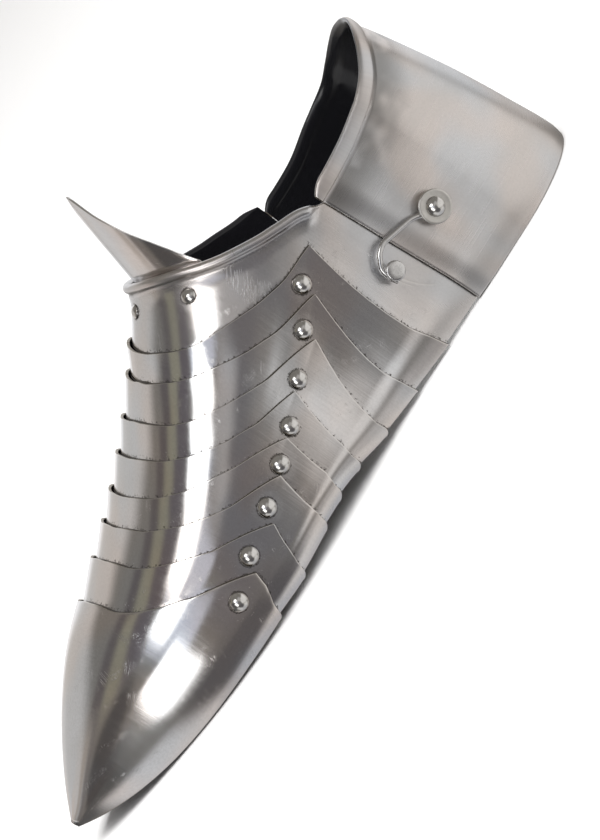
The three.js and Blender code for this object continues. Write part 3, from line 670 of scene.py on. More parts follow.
def instep_plate(fine, rows):
    """Points, faces, finishes and facts of the instep plate, with its rim rolled out over a wire."""
    rolled_from = RIM_ANGLES[0]
    low = [*LOWER_COLUMNS, *np.linspace(-82, -8, 12), 0, 4, 8, 11.5, 12, 13.5, 14.8, rolled_from]
    growing = rolled_from + RIM_GROWTH * np.array([0.3, 0.6, 0.9, 1.2, 1.5, 1.8, 2.2]) / 2.2
    angles = both_sides(np.concatenate([low, growing, spread(rolled_from + 3, 90, fine, 1.2)]))
    level = folded(angles)
    rolled = level > rolled_from
    grown = eased(level, rolled_from, rolled_from + RIM_GROWTH)
    radius = PLATE / 2 + (RIM_ROLL - PLATE / 2) * grown
    back = back_edge(angles)
    set_in = PLATE / 2 + (RIM_SET - PLATE / 2) * grown
    first = back + set_in + FIRST_ROW + FIRST_ROW_AT_ROLL * grown
    front = rear_edge(1, angles) + LAME_REACH
    share = row_shares(INSTEP_ROWS, rows)
    a = np.repeat(angles[:, None], len(share), 1)
    s = first[:, None] + (front - first)[:, None] * share
    past = np.clip(1 - (s - (back + set_in + FILLET_START)[:, None]) / FILLET_WIDE, 0, 1)
    outer, inner = plate_faces(-1, s, a, (RIM_FILLET * grown)[:, None] * past * past)
    at = back + set_in
    centre = shape(at, angles, raised(-1, at, angles) - PLATE + radius)
    behind, ahead = neighbours(angles, RIM_NEAR)
    below_roll = (level < rolled_from) & (angles <= 90)
    ahead = np.where(below_roll, np.minimum(ahead, rolled_from), ahead)
    toward = shape(at + AHEAD, angles, 0) - shape(at, angles, 0)
    inward, out = edge_frame(shape(back_edge(behind), behind, 0), shape(back_edge(ahead), ahead, 0),
                             outward(at, angles), toward)
    thin = np.where(rolled, 0, inset(lower_edge_distance(at, angles)))
    high = PLATE - radius + RIM_FILLET * grown - thin
    half = radius - thin
    ring = edge_bead(centre, inward, out, half, half, high, -half, ROUND_POWER, RIM_POINTS)
    points = plate_loop(outer[:, ::-1], ring, inner[:, ::-1])
    full_s = plate_loop(s[:, ::-1], np.repeat(at[:, None], RIM_POINTS, 1), s[:, ::-1])
    full_a = np.repeat(angles[:, None], full_s.shape[1], 1)
    from_back = np.where(rolled[:, None], NO_EDGE, full_s - back[:, None])
    edge = np.minimum(from_back, lower_edge_distance(full_s, full_a))
    seam = rear_edge(0, angles)[:, None] - full_s
    rivets = [tongue_rivet_place(row)[0] for row in TONGUE_RIVETS]
    facts = measured(points, full_s, full_a, edge, seam, rivets)
    rim = np.linalg.norm(points - shape(at, angles, raised(-1, at, angles))[:, None], axis=-1)
    facts["rim_mm"] = np.where(rolled[:, None], rim, NO_RIM)
    faces, parts = loop_faces(len(angles), len(share), RIM_POINTS)
    polished = np.where(level > TONGUE["angle"][0] - 2, POLISHED_FRONT, POLISHED)
    return points, faces, rolled_parts(parts, polished, len(share), RIM_POINTS), facts


def tongue_rivet_place(row):
    s, angle = row["s"], row["angle"]
    return shape(s, angle, raised(-1, s, angle)), outward(s, angle)


def tongue(fine):
    """Points, faces, finishes and facts of the tongue, a leaf of plate behind the front of the rim."""
    end = TONGUE["angle"][0]
    half = spread(end, 90, fine)
    angles = both_sides(np.concatenate([[end, end + 0.08, end + 0.4], half[1:]]))
    level = folded(angles)
    rim = rim_at(angles)
    rise = np.maximum(smooth(TONGUE["angle"], TONGUE["rise"], level), 0.5)
    lean = unit(np.array(TONGUE["lean"]))
    top = np.concatenate([np.linspace(0, 1, 26)[1:-1], [0.975, 0.993, 1.0]])
    below = np.linspace(1, 0, 10)
    base = raised(-1, rim, angles) - TONGUE["depth"]
    from_side = (level - end) * TONGUE["mm_a_degree"]
    edge_out = outward(rim, angles)
    grids = []
    for depth, turn in ((0.0, -1), (PLATE, 1)):
        face = base - depth
        root = shape(rim, angles, face)
        rows = [shape(rim + TONGUE["below"] * b, angles, face + turn * inset(from_side)) for b in below]
        for t in top:
            sink = turn * inset(np.minimum((1 - t) * rise, from_side))
            rows.append(root + lean * (rise * t)[:, None] + edge_out * sink[:, None])
        grids.append(np.stack(rows, 1))
    outer, inner = grids
    points = np.concatenate([outer, inner[:, ::-1]], 1)
    rows = outer.shape[1]
    up = np.concatenate([-below * TONGUE["below"], top * TONGUE["lay_length"]])
    full_s = np.repeat(np.concatenate([up, up[::-1]])[None], len(angles), 0)
    full_a = np.repeat(angles[:, None], full_s.shape[1], 1)
    left = 1 - np.concatenate([np.zeros(len(below)), top])
    edge = np.minimum(np.outer(rise, left), from_side[:, None])
    edge = np.concatenate([edge, edge[:, ::-1]], 1)
    facts = measured(points, full_s, full_a, edge, np.full(full_s.shape, NO_SEAM), [])
    faces, parts = loop_faces(len(angles), rows, 0)
    return points, faces, parts, facts


# The heel plate.

def side_at(z):
    """Half width of the foot shape where the heel plate starts, at a height."""
    s = HEEL["side_s"]
    widest = foot_size("widest", s)
    high = foot(s, angle_at(s, z))[..., 1]
    share = np.clip((widest - z) / (widest - foot_size("lower", s)), 0, 1)
    return np.where(z >= widest, high, foot(s, -90 * share)[..., 1])


def heel_point(f, curve, side, z, depth):
    """Points of the heel plate at a depth in it.

    f is the share of the way forward along a side, curve the turn round the back, side 1 outer and -1 inner.
    """
    back = smooth(HEEL["z"], HEEL["back"], z)
    start = HEEL["curve_start"]
    turn = np.radians(curve)
    outer = np.where(side > 0, HEEL["outer_offset"], 0)
    close = np.where(side > 0, eased(f, HEEL["close_from"], 1), 0)
    width = side_at(z) + outer - depth - HEEL["close"] * close
    front = np.where(side > 0, np.interp(z, HEEL["front_z"], HEEL["front_outer"]), HEEL["front_inner"])
    s = np.where(f > 0, start + (front - start) * f, start - (start - back - depth) * np.sin(turn))
    y = side * width * np.maximum(np.cos(turn), 0) ** HEEL["roundness"]
    return np.stack(np.broadcast_arrays(s - MIDDLE, y, z), -1)


def heel_plate(fine, rows):
    """Points, faces, finishes and facts of the heel plate, with its flat hem round the top."""
    f_side = np.concatenate([[1, 0.9985, 0.993], np.linspace(0.97, 0, 22)[:-1]])
    turn_side = spread(0, 90, fine)
    f = np.concatenate([f_side, 0 * turn_side])
    curve = np.concatenate([0 * f_side, turn_side])
    side = np.ones(len(f))
    f = np.concatenate([f, f[:-1][::-1]])
    curve = np.concatenate([curve, curve[:-1][::-1]])
    side = np.concatenate([side, -side[:-1]])
    heights = []
    for where in ("outer", "inner"):
        along_side = smooth(HEEL["fraction"], HEEL["rim_" + where], f)
        heights.append(np.where(f > 0, along_side, smooth(HEEL["curve"], HEEL["curve_" + where], curve)))
    rim = np.where(side > 0, *heights)
    base = HEEL["arch"] * f * f
    share = row_shares(HEEL_ROWS, rows)
    low = rim - HEEL_ROLL["high"] - HEEL_ROLL["below"]
    z = base[:, None] + (low - base)[:, None] * share
    column = [v[:, None] for v in (f, curve, side)]
    from_front = np.where(f > 0, (1 - f) * HEEL["side_length"], NO_FRONT)[:, None]
    sink = inset(np.minimum(z - base[:, None], from_front))
    outer = heel_point(*column, z, sink)
    inner = heel_point(*column, z, PLATE - sink)
    reference = heel_point(f, curve, side, rim, PLATE)
    out = unit(heel_point(f, curve, side, rim, 0.0) - reference)
    centre = reference + out * HEEL_ROLL["set"]
    behind = np.concatenate([reference[:1], reference[:-1]])
    ahead = np.concatenate([reference[1:], reference[-1:]])
    inward, out = edge_frame(behind, ahead, out, np.broadcast_to([0, 0, -1.0], reference.shape))
    ending = np.clip((f - HEEL_ROLL["end_from"]) / (1 - HEEL_ROLL["end_from"]), 0, 1) ** 2
    tall = HEEL_ROLL["high"] * (1 - HEEL_ROLL["end_lower"] * ending)
    centre[:, 2] -= HEEL_ROLL["end_lower"] * HEEL_ROLL["high"] * ending
    thick = HEEL_ROLL["out"] * (1 - HEEL_ROLL["end_thinner"] * ending)
    ring = edge_bead(centre, inward, out, tall, thick, PLATE - HEEL_ROLL["set"], -HEEL_ROLL["set"],
                     HEM_POWER, HEM_POINTS)
    points = plate_loop(outer, ring, inner)
    full_z = plate_loop(z, np.repeat(rim[:, None], HEM_POINTS, 1), z)
    around = np.cumsum(np.concatenate([[0], np.linalg.norm(np.diff(reference, axis=0), axis=-1)]))
    around = around - around[len(around) // 2]
    edge = np.minimum(full_z - base[:, None], np.repeat(from_front, full_z.shape[1], 1))
    full_a = np.linspace(-90, 270, len(f))[:, None] + 0 * full_z
    facts = measured(points, full_z, full_a, edge, np.full(full_z.shape, NO_SEAM), [])
    facts["lay"][..., 0] = around[:, None]
    facts["rim_mm"] = np.abs(rim[:, None] - points[..., 2])
    faces, parts = loop_faces(len(f), len(share), HEM_POINTS)
    return points, faces, rolled_parts(parts, np.full(len(f), POLISHED), len(share), HEM_POINTS), facts


def heel_outer(z):
    return float(side_at(z)) + HEEL["outer_offset"]


def hook_out():
    """How far out the hook's plane lies."""
    return heel_outer(HOOK["pivot"][1]) + HOOK["stand"] + HOOK["wire"]


def inner_face(s, angle):
    """How far the instep plate's face lies from the middle plane on the inner side."""
    return -float(shape(s, angle, raised(-1, s, angle))[1])


def leaf_ends():
    """How far from the side hinge's axis its leaves start and end."""
    start = SIDE_HINGE["barrel"] * LEAF_START + SIDE_HINGE["lead"]
    return start, start + SIDE_HINGE["reach"]


def hinge_out():
    """How far the side hinge's axis lies from the middle plane."""
    return inner_face(SEAM + leaf_ends()[1], 180.0) + SIDE_HINGE["clear"] + SIDE_HINGE["barrel"]


# Turned and swept pieces.

def round_faces(rings, sides):
    """Faces of a round piece: quads between its rings, and a fan round each of the two points after them."""
    faces = ring_quads(rings, sides)
    first, top = rings * sides, (rings - 1) * sides
    for j in range(sides):
        n = (j + 1) % sides
        faces.append((first, n, j))
        faces.append((first + 1, top + j, top + n))
    return faces


def turned(profile, sides, wobble=0.0, seed=0):
    """Points and faces of a solid of revolution about +Z, with hand-set unevenness."""
    profile = np.array(profile, float)
    phase = np.random.default_rng(seed).uniform(0, 2 * np.pi, 3)
    turn = 2 * np.pi * np.arange(sides) / sides
    waves = np.sin(2 * turn + phase[0]) + 0.6 * np.sin(3 * turn + phase[1]) + 0.3 * np.sin(5 * turn)
    x, y = np.cos(turn) * (1 + wobble * waves), np.sin(turn) * (1 + wobble * waves)
    rings = [np.stack([r * x, r * y, 0 * turn + z], -1) for r, z in profile]
    points = np.concatenate(rings + [np.array([[0, 0, profile[0][1]], [0, 0, profile[-1][1]]])])
    return points, round_faces(len(profile), sides)


def along(direction, points, at):
    """Points turned so that +Z lies along a direction, at a point."""
    turn = Vector((0, 0, 1)).rotation_difference(Vector(direction)).to_matrix()
    return points @ np.array(turn).T + np.asarray(at)


def head_profile(size, grip):
    """The section of a rivet from its upset end to the top of its head, which sits on its base point."""
    head, rise, shank, tail, thick = (size[key] for key in ("head", "rise", "shank", "tail", "tail_thick"))
    ball = (head * head + rise * rise) / (2 * rise)
    start = math.asin(min(head / ball, 1)) * HEAD["rim_share"]
    section = [
        (tail * 0.8, -grip - thick),
        (tail, -grip - thick * 0.6),
        (tail, -grip + 0.02),
        (shank, -grip + 0.01),
        (shank, HEAD["lift"] - 0.02),
        (head * 0.97, HEAD["lift"]),
        (head, HEAD["lift"] + HEAD["wall"]),
    ]
    for i in range(HEAD["steps"], 0, -1):
        a = start * i / HEAD["steps"]
        section.append((ball * math.sin(a), SEAT + rise - ball + ball * math.cos(a)))
    return section


def swept(line, radii, sides):
    """A round rod with closed ends along a line of points in an upright plane, with a radius at each."""
    line = np.array(line, float)
    ahead = np.concatenate([line[1:], line[-1:]])
    behind = np.concatenate([line[:1], line[:-1]])
    tangent = unit(ahead - behind)
    plane = np.array([0, 1.0, 0])
    across = unit(plane - tangent * (tangent @ plane)[:, None])
    second = np.cross(tangent, across)
    turn = 2 * np.pi * np.arange(sides) / sides
    circle = across[:, None] * np.cos(turn)[None, :, None] + second[:, None] * np.sin(turn)[None, :, None]
    rings = line[:, None] + radii[:, None, None] * circle
    points = np.concatenate([rings.reshape(-1, 3), line[:1], line[-1:]])
    return points, round_faces(len(line), sides)


def rounded_path(corners, radius, steps):
    """A line through corner points with each corner rounded off."""
    corners = [np.array(c, float) for c in corners]
    path = [corners[0]]
    for before, corner, after in zip(corners, corners[1:], corners[2:]):
        to_before = unit(before - corner)
        to_after = unit(after - corner)
        reach = min(radius, 0.45 * np.linalg.norm(before - corner), 0.45 * np.linalg.norm(after - corner))
        a, b = corner + to_before * reach, corner + to_after * reach
        for t in np.linspace(0, 1, steps):
            path.append((1 - t) ** 2 * a + 2 * t * (1 - t) * corner + t * t * b)
    path.append(corners[-1])
    return np.array(path)


# Making objects.

def make_piece(name, nodes, body, slot, materials, points, faces, parts=None, facts=None, sharp=None):
    """A mesh object in metres that rides on a body and stands for its solids."""
    mesh = bpy.data.meshes.new(name)
    mesh.from_pydata((np.asarray(points, float).reshape(-1, 3) * MM).tolist(), [], faces)
    mesh.validate()
    for material in materials:
        mesh.materials.append(material)
    if parts is not None:
        numbers = {"outer": 0, "inner": 1, "edge": 2}
        mesh.polygons.foreach_set("material_index", [numbers[part] for part in parts])
    for fact, values in facts.items():
        vector = values.ndim == 3
        layer = mesh.attributes.new(fact, "FLOAT_VECTOR" if vector else "FLOAT", "POINT")
        layer.data.foreach_set("vector" if vector else "value", values.reshape(-1).astype(np.float32))
    mesh.polygons.foreach_set("use_smooth", [True] * len(mesh.polygons))
    mesh.update()
    piece = bpy.data.objects.new(name, mesh)
    bpy.context.scene.collection.objects.link(piece)
    if sharp is not None:
        mesh.set_sharp_from_angle(angle=math.radians(sharp))
    turn_outward(mesh)
    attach(piece, body)
    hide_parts(*nodes)


def turn_outward(mesh):
    """Turns the faces of a closed mesh outwards if they face in."""
    mesh.calc_loop_triangles()
    corners = np.empty(len(mesh.loop_triangles) * 3, np.int32)
    mesh.loop_triangles.foreach_get("vertices", corners)
    places = np.empty(len(mesh.vertices) * 3)
    mesh.vertices.foreach_get("co", places)
    a, b, c = places.reshape(-1, 3)[corners.reshape(-1, 3)].transpose(1, 0, 2)
    if (a * np.cross(b, c)).sum() < 0:
        mesh.flip_normals()


# Shader tools. Each adds its node to the tree that its sockets belong to.

def feed(target, value):
    """Links a socket to an input, or sets the input's own value."""
    if isinstance(value, bpy.types.NodeSocket):
        target.id_data.links.new(value, target)
    else:
        target.default_value = value


def new_node(kind, values):
    """A node in the tree of the first socket among some values."""
    return next(v.id_data for v in values if isinstance(v, bpy.types.NodeSocket)).nodes.new(kind)


def calc(operation, *values, clamp=False):
    node = new_node("ShaderNodeMath", values)
    node.operation = operation
    node.use_clamp = clamp
    for target, value in zip(node.inputs, values):
        feed(target, value)
    return node.outputs[0]


def run_through(operation, values, clamp=False):
    """One calculation over several values, from the first to the last."""
    total = values[0]
    for value in values[1:-1]:
        total = calc(operation, total, value)
    return calc(operation, total, values[-1], clamp=clamp)


def plus(*values, clamp=False):
    return run_through("ADD", values, clamp)


def minus(*values, clamp=False):
    return run_through("SUBTRACT", values, clamp)


def times(*values, clamp=False):
    return run_through("MULTIPLY", values, clamp)


def larger(*values):
    return run_through("MAXIMUM", values)


def vector_calc(operation, *values, out=0):
    node = new_node("ShaderNodeVectorMath", values)
    node.operation = operation
    for target, value in zip(node.inputs, values):
        feed(target, value)
    return node.outputs[out]


def stretch(place, factors):
    return vector_calc("MULTIPLY", place, factors)


def fact(tree, name, vector=False):
    """A fact that is kept on the points of a mesh."""
    node = tree.nodes.new("ShaderNodeAttribute")
    node.attribute_name = name
    return node.outputs["Vector" if vector else "Fac"]


def noise(place, scale, detail=2.0, rough=0.5, distort=0.0):
    node = new_node("ShaderNodeTexNoise", [place])
    keys = ("Vector", "Scale", "Detail", "Roughness", "Distortion")
    for key, v in zip(keys, (place, scale, detail, rough, distort)):
        feed(node.inputs[key], v)
    return node.outputs["Fac"]


def ramp(value, low, high, to_low=0.0, to_high=1.0, kind="SMOOTHSTEP"):
    node = new_node("ShaderNodeMapRange", [value])
    node.interpolation_type = kind
    node.clamp = True
    keys = ("Value", "From Min", "From Max", "To Min", "To Max")
    for key, v in zip(keys, (value, low, high, to_low, to_high)):
        feed(node.inputs[key], v)
    return node.outputs["Result"]


def mix_colour(share, first, second):
    node = new_node("ShaderNodeMix", [share])
    node.data_type = "RGBA"
    feed(node.inputs["Factor"], share)
    colours = [i for i in node.inputs if i.type == "RGBA"]
    for target, colour in zip(colours, (first, second)):
        feed(target, colour if isinstance(colour, bpy.types.NodeSocket) else (*colour[:3], 1))
    return next(o for o in node.outputs if o.type == "RGBA")


def bump(height):
    """A normal from a height in millimetres."""
    node = new_node("ShaderNodeBump", [height])
    node.inputs["Strength"].default_value = 1.0
    node.inputs["Distance"].default_value = MM
    feed(node.inputs["Height"], height)
    return node.outputs["Normal"]


def darker(colour, share):
    return tuple(share * c for c in colour)


KINDS = {"value": "NodeSocketFloat", "vector": "NodeSocketVector"}


def new_group(name, inputs, outputs):
    """A shader node group. inputs gives each input's default, where None is a vector. outputs are values."""
    tree = bpy.data.node_groups.new(name, "ShaderNodeTree")
    for label, default in inputs.items():
        kind = KINDS["vector" if default is None else "value"]
        made = tree.interface.new_socket(name=label, in_out="INPUT", socket_type=kind)
        if default is not None:
            made.default_value = default
    for label in outputs:
        tree.interface.new_socket(name=label, in_out="OUTPUT", socket_type=KINDS["value"])
    entry = tree.nodes.new("NodeGroupInput")
    leave = tree.nodes.new("NodeGroupOutput")
    return tree, entry.outputs, leave.inputs


GROUPS = {}


def use_group(tree, maker, **values):
    """Places a group in a material with its own values, and builds it first if it isn't there yet.

    Underscores in the names of the values stand for spaces.
    """
    if maker not in GROUPS:
        GROUPS[maker] = maker()
    node = tree.nodes.new("ShaderNodeGroup")
    node.node_tree = GROUPS[maker]
    for label, value in values.items():
        feed(node.inputs[label.replace("_", " ")], value)
    return node.outputs


def buffing():
    """Fine strokes that run round the foot, from sanding and buffing, and hazy patches between them."""
    tree, given, result = new_group("buffing", {"Lay": None, "Stroke Size": 1.0, "Haze Size": 1.0},
                                    ["Strokes", "Haze", "Waves", "Mottle"])
    lay = given["Lay"]
    fine = noise(stretch(lay, (0.035, 1.7, 0.0)), given["Stroke Size"], 4.0, 0.62)
    broad = noise(stretch(lay, (0.012, 0.42, 0.0)), given["Stroke Size"], 2.0, 0.5, 0.2)
    feed(result["Strokes"], plus(times(fine, 0.62), times(broad, 0.38)))
    feed(result["Haze"], noise(stretch(lay, (0.03, 0.045, 0.0)), given["Haze Size"], 2.5, 0.5, 0.4))
    feed(result["Waves"], noise(stretch(lay, (0.045, 0.028, 0.0)), given["Haze Size"], 1.0, 0.3))
    feed(result["Mottle"], ramp(noise(lay, 0.9, 5.0, 0.75), 0.35, 0.7))
    return tree


# The directions that random scratches run in, as a turn, and where their patches start.
SCRATCH_TURNS = [(0.35, 0.0), (1.25, 7.3), (2.2, 3.1)]


def random_scratches():
    """Thin random scratches in three directions."""
    tree, given, result = new_group("random_scratches", {"Place": None, "Size": 1.0, "Share": 0.3},
                                    ["Scratches"])
    marked = []
    for turn, start in SCRATCH_TURNS:
        rotate = tree.nodes.new("ShaderNodeVectorRotate")
        rotate.rotation_type = "Z_AXIS"
        feed(rotate.inputs["Vector"], given["Place"])
        rotate.inputs["Angle"].default_value = turn
        line = noise(stretch(rotate.outputs[0], (0.022, 2.6, 1.0)), given["Size"], 1.0, 0.5)
        where = noise(vector_calc("ADD", given["Place"], (start, start, 0)), 0.11, 2.0)
        thin = minus(1.0, times(calc("ABSOLUTE", minus(line, 0.5)), 60.0), clamp=True)
        marked.append(times(thin, ramp(where, minus(0.72, times(given["Share"], 0.3)), 0.75)))
    feed(result["Scratches"], larger(*marked))
    return tree


def grime_and_shadow():
    """Dirt and rust that gather where the next plate lies on this one and round the rivets, and a thin
    painted shadow line along the next plate's edge and round the foot of each rivet.
    """
    tree, given, result = new_group(
        "grime_and_shadow", {"Seam": NO_SEAM, "Rivet": NO_RIVET, "Head": RIVET["head"], "Place": None, "Amount": 1.0},
        ["Dirt and Shadow", "Rubbed", "Pits"])
    place, seam = given["Place"], given["Seam"]
    ring = minus(given["Rivet"], given["Head"])
    before_seam = ramp(seam, -0.8, -0.3)
    ragged = noise(place, 0.7, 3.0, 0.65)
    reach = plus(0.35, times(ramp(ragged, 0.42, 0.66), 2.2))
    at_seam = times(ramp(seam, 0.1, reach, 1.0, 0.0), before_seam)
    at_rivet = ramp(ring, 0.0, times(ragged, 1.8), 1.0, 0.0)
    spots = times(larger(at_seam, at_rivet), ramp(noise(place, 1.6, 3.0, 0.65), 0.40, 0.60))
    # Painted shadow: a thin dark line just in front of the next plate's edge and round the foot of each
    # rivet. The spots above are dirt, and the group's first output carries both.
    line = larger(times(ramp(seam, 0.2, 0.6, 0.8, 0.0), before_seam), ramp(ring, 0.05, 0.35, 0.6, 0.0))
    feed(result["Dirt and Shadow"], times(larger(spots, line), given["Amount"], clamp=True))
    feed(result["Rubbed"], times(ramp(ring, 0.2, 1.0), ramp(ring, 1.2, 4.2, 1.0, 0.0)))
    near = larger(ramp(seam, 0.5, 5.0, 1.0, 0.0), ramp(ring, 0.5, 5.0, 1.0, 0.0))
    feed(result["Pits"], times(ramp(noise(place, 2.6, 2.0, 0.5), 0.70, 0.76), near))
    return tree


def worn_edge():
    """A bright worn line along an edge, broken by wear."""
    tree, given, result = new_group("worn_edge", {"Edge": NO_EDGE, "Width": 0.8, "Place": None}, ["Wear"])
    reach = times(given["Width"], plus(0.35, noise(given["Place"], 0.8, 3.0, 0.6)))
    feed(result["Wear"], ramp(given["Edge"], 0.0, reach, 1.0, 0.0))
    return tree


def paint_chips():
    """Small chips in paint down to bright steel, more of them near an edge."""
    tree, given, result = new_group("paint_chips", {"Place": None, "Edge": NO_EDGE, "Share": 0.5},
                                    ["Chips", "Orange Peel"])
    near = ramp(given["Edge"], 0.0, 3.0, 0.14, 0.0)
    level = minus(0.83, times(given["Share"], 0.08), near)
    feed(result["Chips"], ramp(noise(given["Place"], 0.35, 4.0, 0.7), level, plus(level, 0.02)))
    feed(result["Orange Peel"], noise(given["Place"], 0.22, 1.0, 0.4))
    return tree


def light_box():
    """A soft-edged rectangle of light in the room, seen in a direction."""
    tree, given, result = new_group(
        "light_box", {"Direction": None, "Centre": None, "Side": None, "Up": None, "Half Width": 0.2,
                      "Half Height": 0.2, "Softness": 0.1}, ["Light"])
    facing = vector_calc("DOT_PRODUCT", given["Direction"], given["Centre"], out=1)
    safe = larger(facing, 0.05)
    masks = [ramp(facing, 0.05, 0.15)]
    for axis, half in (("Side", "Half Width"), ("Up", "Half Height")):
        across = vector_calc("DOT_PRODUCT", given["Direction"], given[axis], out=1)
        place = calc("ABSOLUTE", calc("DIVIDE", across, safe))
        low, high = minus(given[half], given["Softness"]), plus(given[half], given["Softness"])
        masks.append(ramp(place, low, high, 1.0, 0.0))
    feed(result["Light"], times(*masks))
    return tree


def new_material(name):
    material = bpy.data.materials.new(name)
    material.use_nodes = True
    tree = material.node_tree
    return material, tree, tree.nodes["Principled BSDF"].inputs


def finished(material, inputs, colour, roughness, metallic, height):
    """Feeds a material's shader."""
    for key, value in (("Base Color", colour), ("Roughness", roughness), ("Metallic", metallic),
                       ("Normal", bump(height))):
        feed(inputs[key], value)
    return material


# Marks that the hook's end has rubbed as it swings: radius, half width, and the turn they run between.
SWING_MARKS = [
    (29.2, 0.5, -0.72, 0.0),
    (30.6, 0.3, -0.45, 0.05),
]
SWING_FADE = 0.12
# The satin patch round the hook: where it starts to fade and ends, and how much rougher it is.
SATIN = (30.0, 52.0, 0.14)
# A scuff beside the front of the instep plate: its place, one over its half sizes, and the run of its lines.
VAMP_SCUFF = {"at": (-58.0, 128.0, 0.0), "shrink": (0.075, 0.16, 0.0), "stroke": (1.5, 0.16, 0.0)}

# How much each effect on a plate roughens it, raises it in millimetres, and covers its colour.
ROUGHER = {"stroke": 0.08, "haze": 0.04, "scratch": 0.22, "rubbed": 0.05, "dirt": 0.3, "rim": 0.14}
HEIGHT = {"stroke": 0.010, "scratch": 0.010, "pit": 0.06, "dirt": 0.004, "wave": 0.40, "swing": 0.02}
# The dirt entries also carry the painted shadow lines at seams and rivets, and the last colour cover is
# painted shade below the heel's hem.
COVER = {"haze": 0.35, "wear": 0.35, "mottle": 0.13, "swing": 0.35, "dirt": 0.9, "hem_painted_shade": 0.75}
# Colours of steel as shares of the plate's own colour, and of steel that is rubbed bright.
COOL = (0.96, 0.99, 1.04)
WARM = (1.04, 0.97, 0.94)
WORN_COLOUR = (0.82, 0.79, 0.73)
SWING_COLOUR = (0.86, 0.84, 0.8)


def scuff_lines(lay, scuff):
    """A round patch of short parallel scratches."""
    away = vector_calc("LENGTH", stretch(vector_calc("SUBTRACT", lay, scuff["at"]), scuff["shrink"]), out=1)
    lines = noise(stretch(lay, scuff["stroke"]), 1.0, 2.0, 0.6)
    return times(ramp(away, 0.55, 1.0, 1.0, 0.0), ramp(lines, 0.52, 0.60))


def swing_lines(tree):
    """The marks that the hook has rubbed, and the distance from its pivot."""
    place = fact(tree, "swing", True)
    radius = vector_calc("LENGTH", place, out=1)
    split = tree.nodes.new("ShaderNodeSeparateXYZ")
    feed(split.inputs[0], place)
    turn = calc("ARCTAN2", split.outputs["Y"], split.outputs["X"])
    marks = []
    for at, wide, low, high in SWING_MARKS:
        line = minus(1.0, calc("DIVIDE", calc("ABSOLUTE", minus(radius, at)), wide), clamp=True)
        part = times(ramp(turn, low, low + SWING_FADE), ramp(turn, high - SWING_FADE, high, 1, 0))
        marks.append(times(line, part))
    return larger(*marks), radius


def plate_steel(name, looks, rough, strokes, waves, scratches, dirt, scuff=None, swing=False, hem_painted_shade=False,
                head=RIVET["head"]):
    """Buffed steel plate: strokes round the foot, hazy patches, dirt with painted shadow lines at seams and
    rivets, worn edges, and on the heel painted shade below the hem.
    """
    material, tree, inputs = new_material(name)
    colour = tuple(looks.steel_colour)
    lay, rim = fact(tree, "lay", True), fact(tree, "rim_mm")
    buffed = use_group(tree, buffing, Lay=lay, Stroke_Size=1.0, Haze_Size=1.0)
    scratched = use_group(tree, random_scratches, Place=lay, Size=1.0, Share=scratches)["Scratches"]
    # Dirt at seams and rivets, with a painted shadow line along each seam and round each rivet's foot. dirt
    # sets the amount of both.
    dirt_and_shadow = use_group(tree, grime_and_shadow, Seam=fact(tree, "seam_mm"), Rivet=fact(tree, "rivet_mm"), Head=head,
                      Place=lay, Amount=dirt)
    wear = use_group(tree, worn_edge, Edge=fact(tree, "edge_mm"), Width=0.9, Place=lay)["Wear"]
    if scuff:
        scratched = larger(scratched, scuff_lines(lay, scuff))
    shade = ramp(buffed["Haze"], 0.3, 0.7)
    cool, warm = ([c * tint for c, tint in zip(colour, tints)] for tints in (COOL, WARM))
    base = mix_colour(ramp(buffed["Waves"], 0.35, 0.65), cool, warm)
    base = mix_colour(times(shade, COVER["haze"]), base, darker(colour, 0.8))
    base = mix_colour(times(wear, COVER["wear"]), base, WORN_COLOUR)
    base = mix_colour(times(buffed["Mottle"], COVER["mottle"]), base, darker(colour, 0.45))
    # Painted shade: a dark cloudy band below the heel's hem, standing for the dark reflections of the plate's
    # curve there.
    if hem_painted_shade:
        cloud = ramp(noise(stretch(lay, (0.9, 1.0, 0.0)), 0.05, 2.0, 0.5), 0.36, 0.52)
        painted_shade_below_hem = times(ramp(rim, 6.0, 24.0, COVER["hem_painted_shade"], 0.0), ramp(rim, 3.2, 5.0))
        base = mix_colour(times(cloud, painted_shade_below_hem), base, darker(colour, 0.3))
    # Dirt and the painted shadow lines at seams and rivets take the dirt colour.
    base = mix_colour(ramp(dirt_and_shadow["Dirt and Shadow"], 0.0, 0.4, 0.0, COVER["dirt"]), base, looks.dirt_and_shadow_colour)
    stroke = ramp(buffed["Strokes"], 0.3, 0.7, -0.5, 0.5, kind="LINEAR")
    roughness = plus(rough, times(stroke, ROUGHER["stroke"] * strokes), times(shade, ROUGHER["haze"]))
    height = minus(times(buffed["Strokes"], HEIGHT["stroke"] * strokes), times(scratched, HEIGHT["scratch"]),
                   times(dirt_and_shadow["Pits"], HEIGHT["pit"]))
    height = plus(height, times(dirt_and_shadow["Dirt and Shadow"], HEIGHT["dirt"]),
                  times(buffed["Waves"], HEIGHT["wave"] * waves))
    if swing:
        swung, radius = swing_lines(tree)
        base = mix_colour(times(swung, COVER["swing"]), base, SWING_COLOUR)
        roughness = plus(roughness, ramp(radius, SATIN[0], SATIN[1], SATIN[2], 0.0))
        height = minus(height, times(swung, HEIGHT["swing"]))
    roughness = plus(roughness, times(scratched, ROUGHER["scratch"]),
                     times(dirt_and_shadow["Rubbed"], ROUGHER["rubbed"]),
                     ramp(dirt_and_shadow["Dirt and Shadow"], 0.35, 1.0, 0.0, ROUGHER["dirt"]),
                     ramp(rim, 2.0, 5.5, ROUGHER["rim"], 0.0), clamp=True)
    return finished(material, inputs, base, roughness, ramp(dirt_and_shadow["Dirt and Shadow"], 0.2, 0.8, 1.0, 0.3), height)


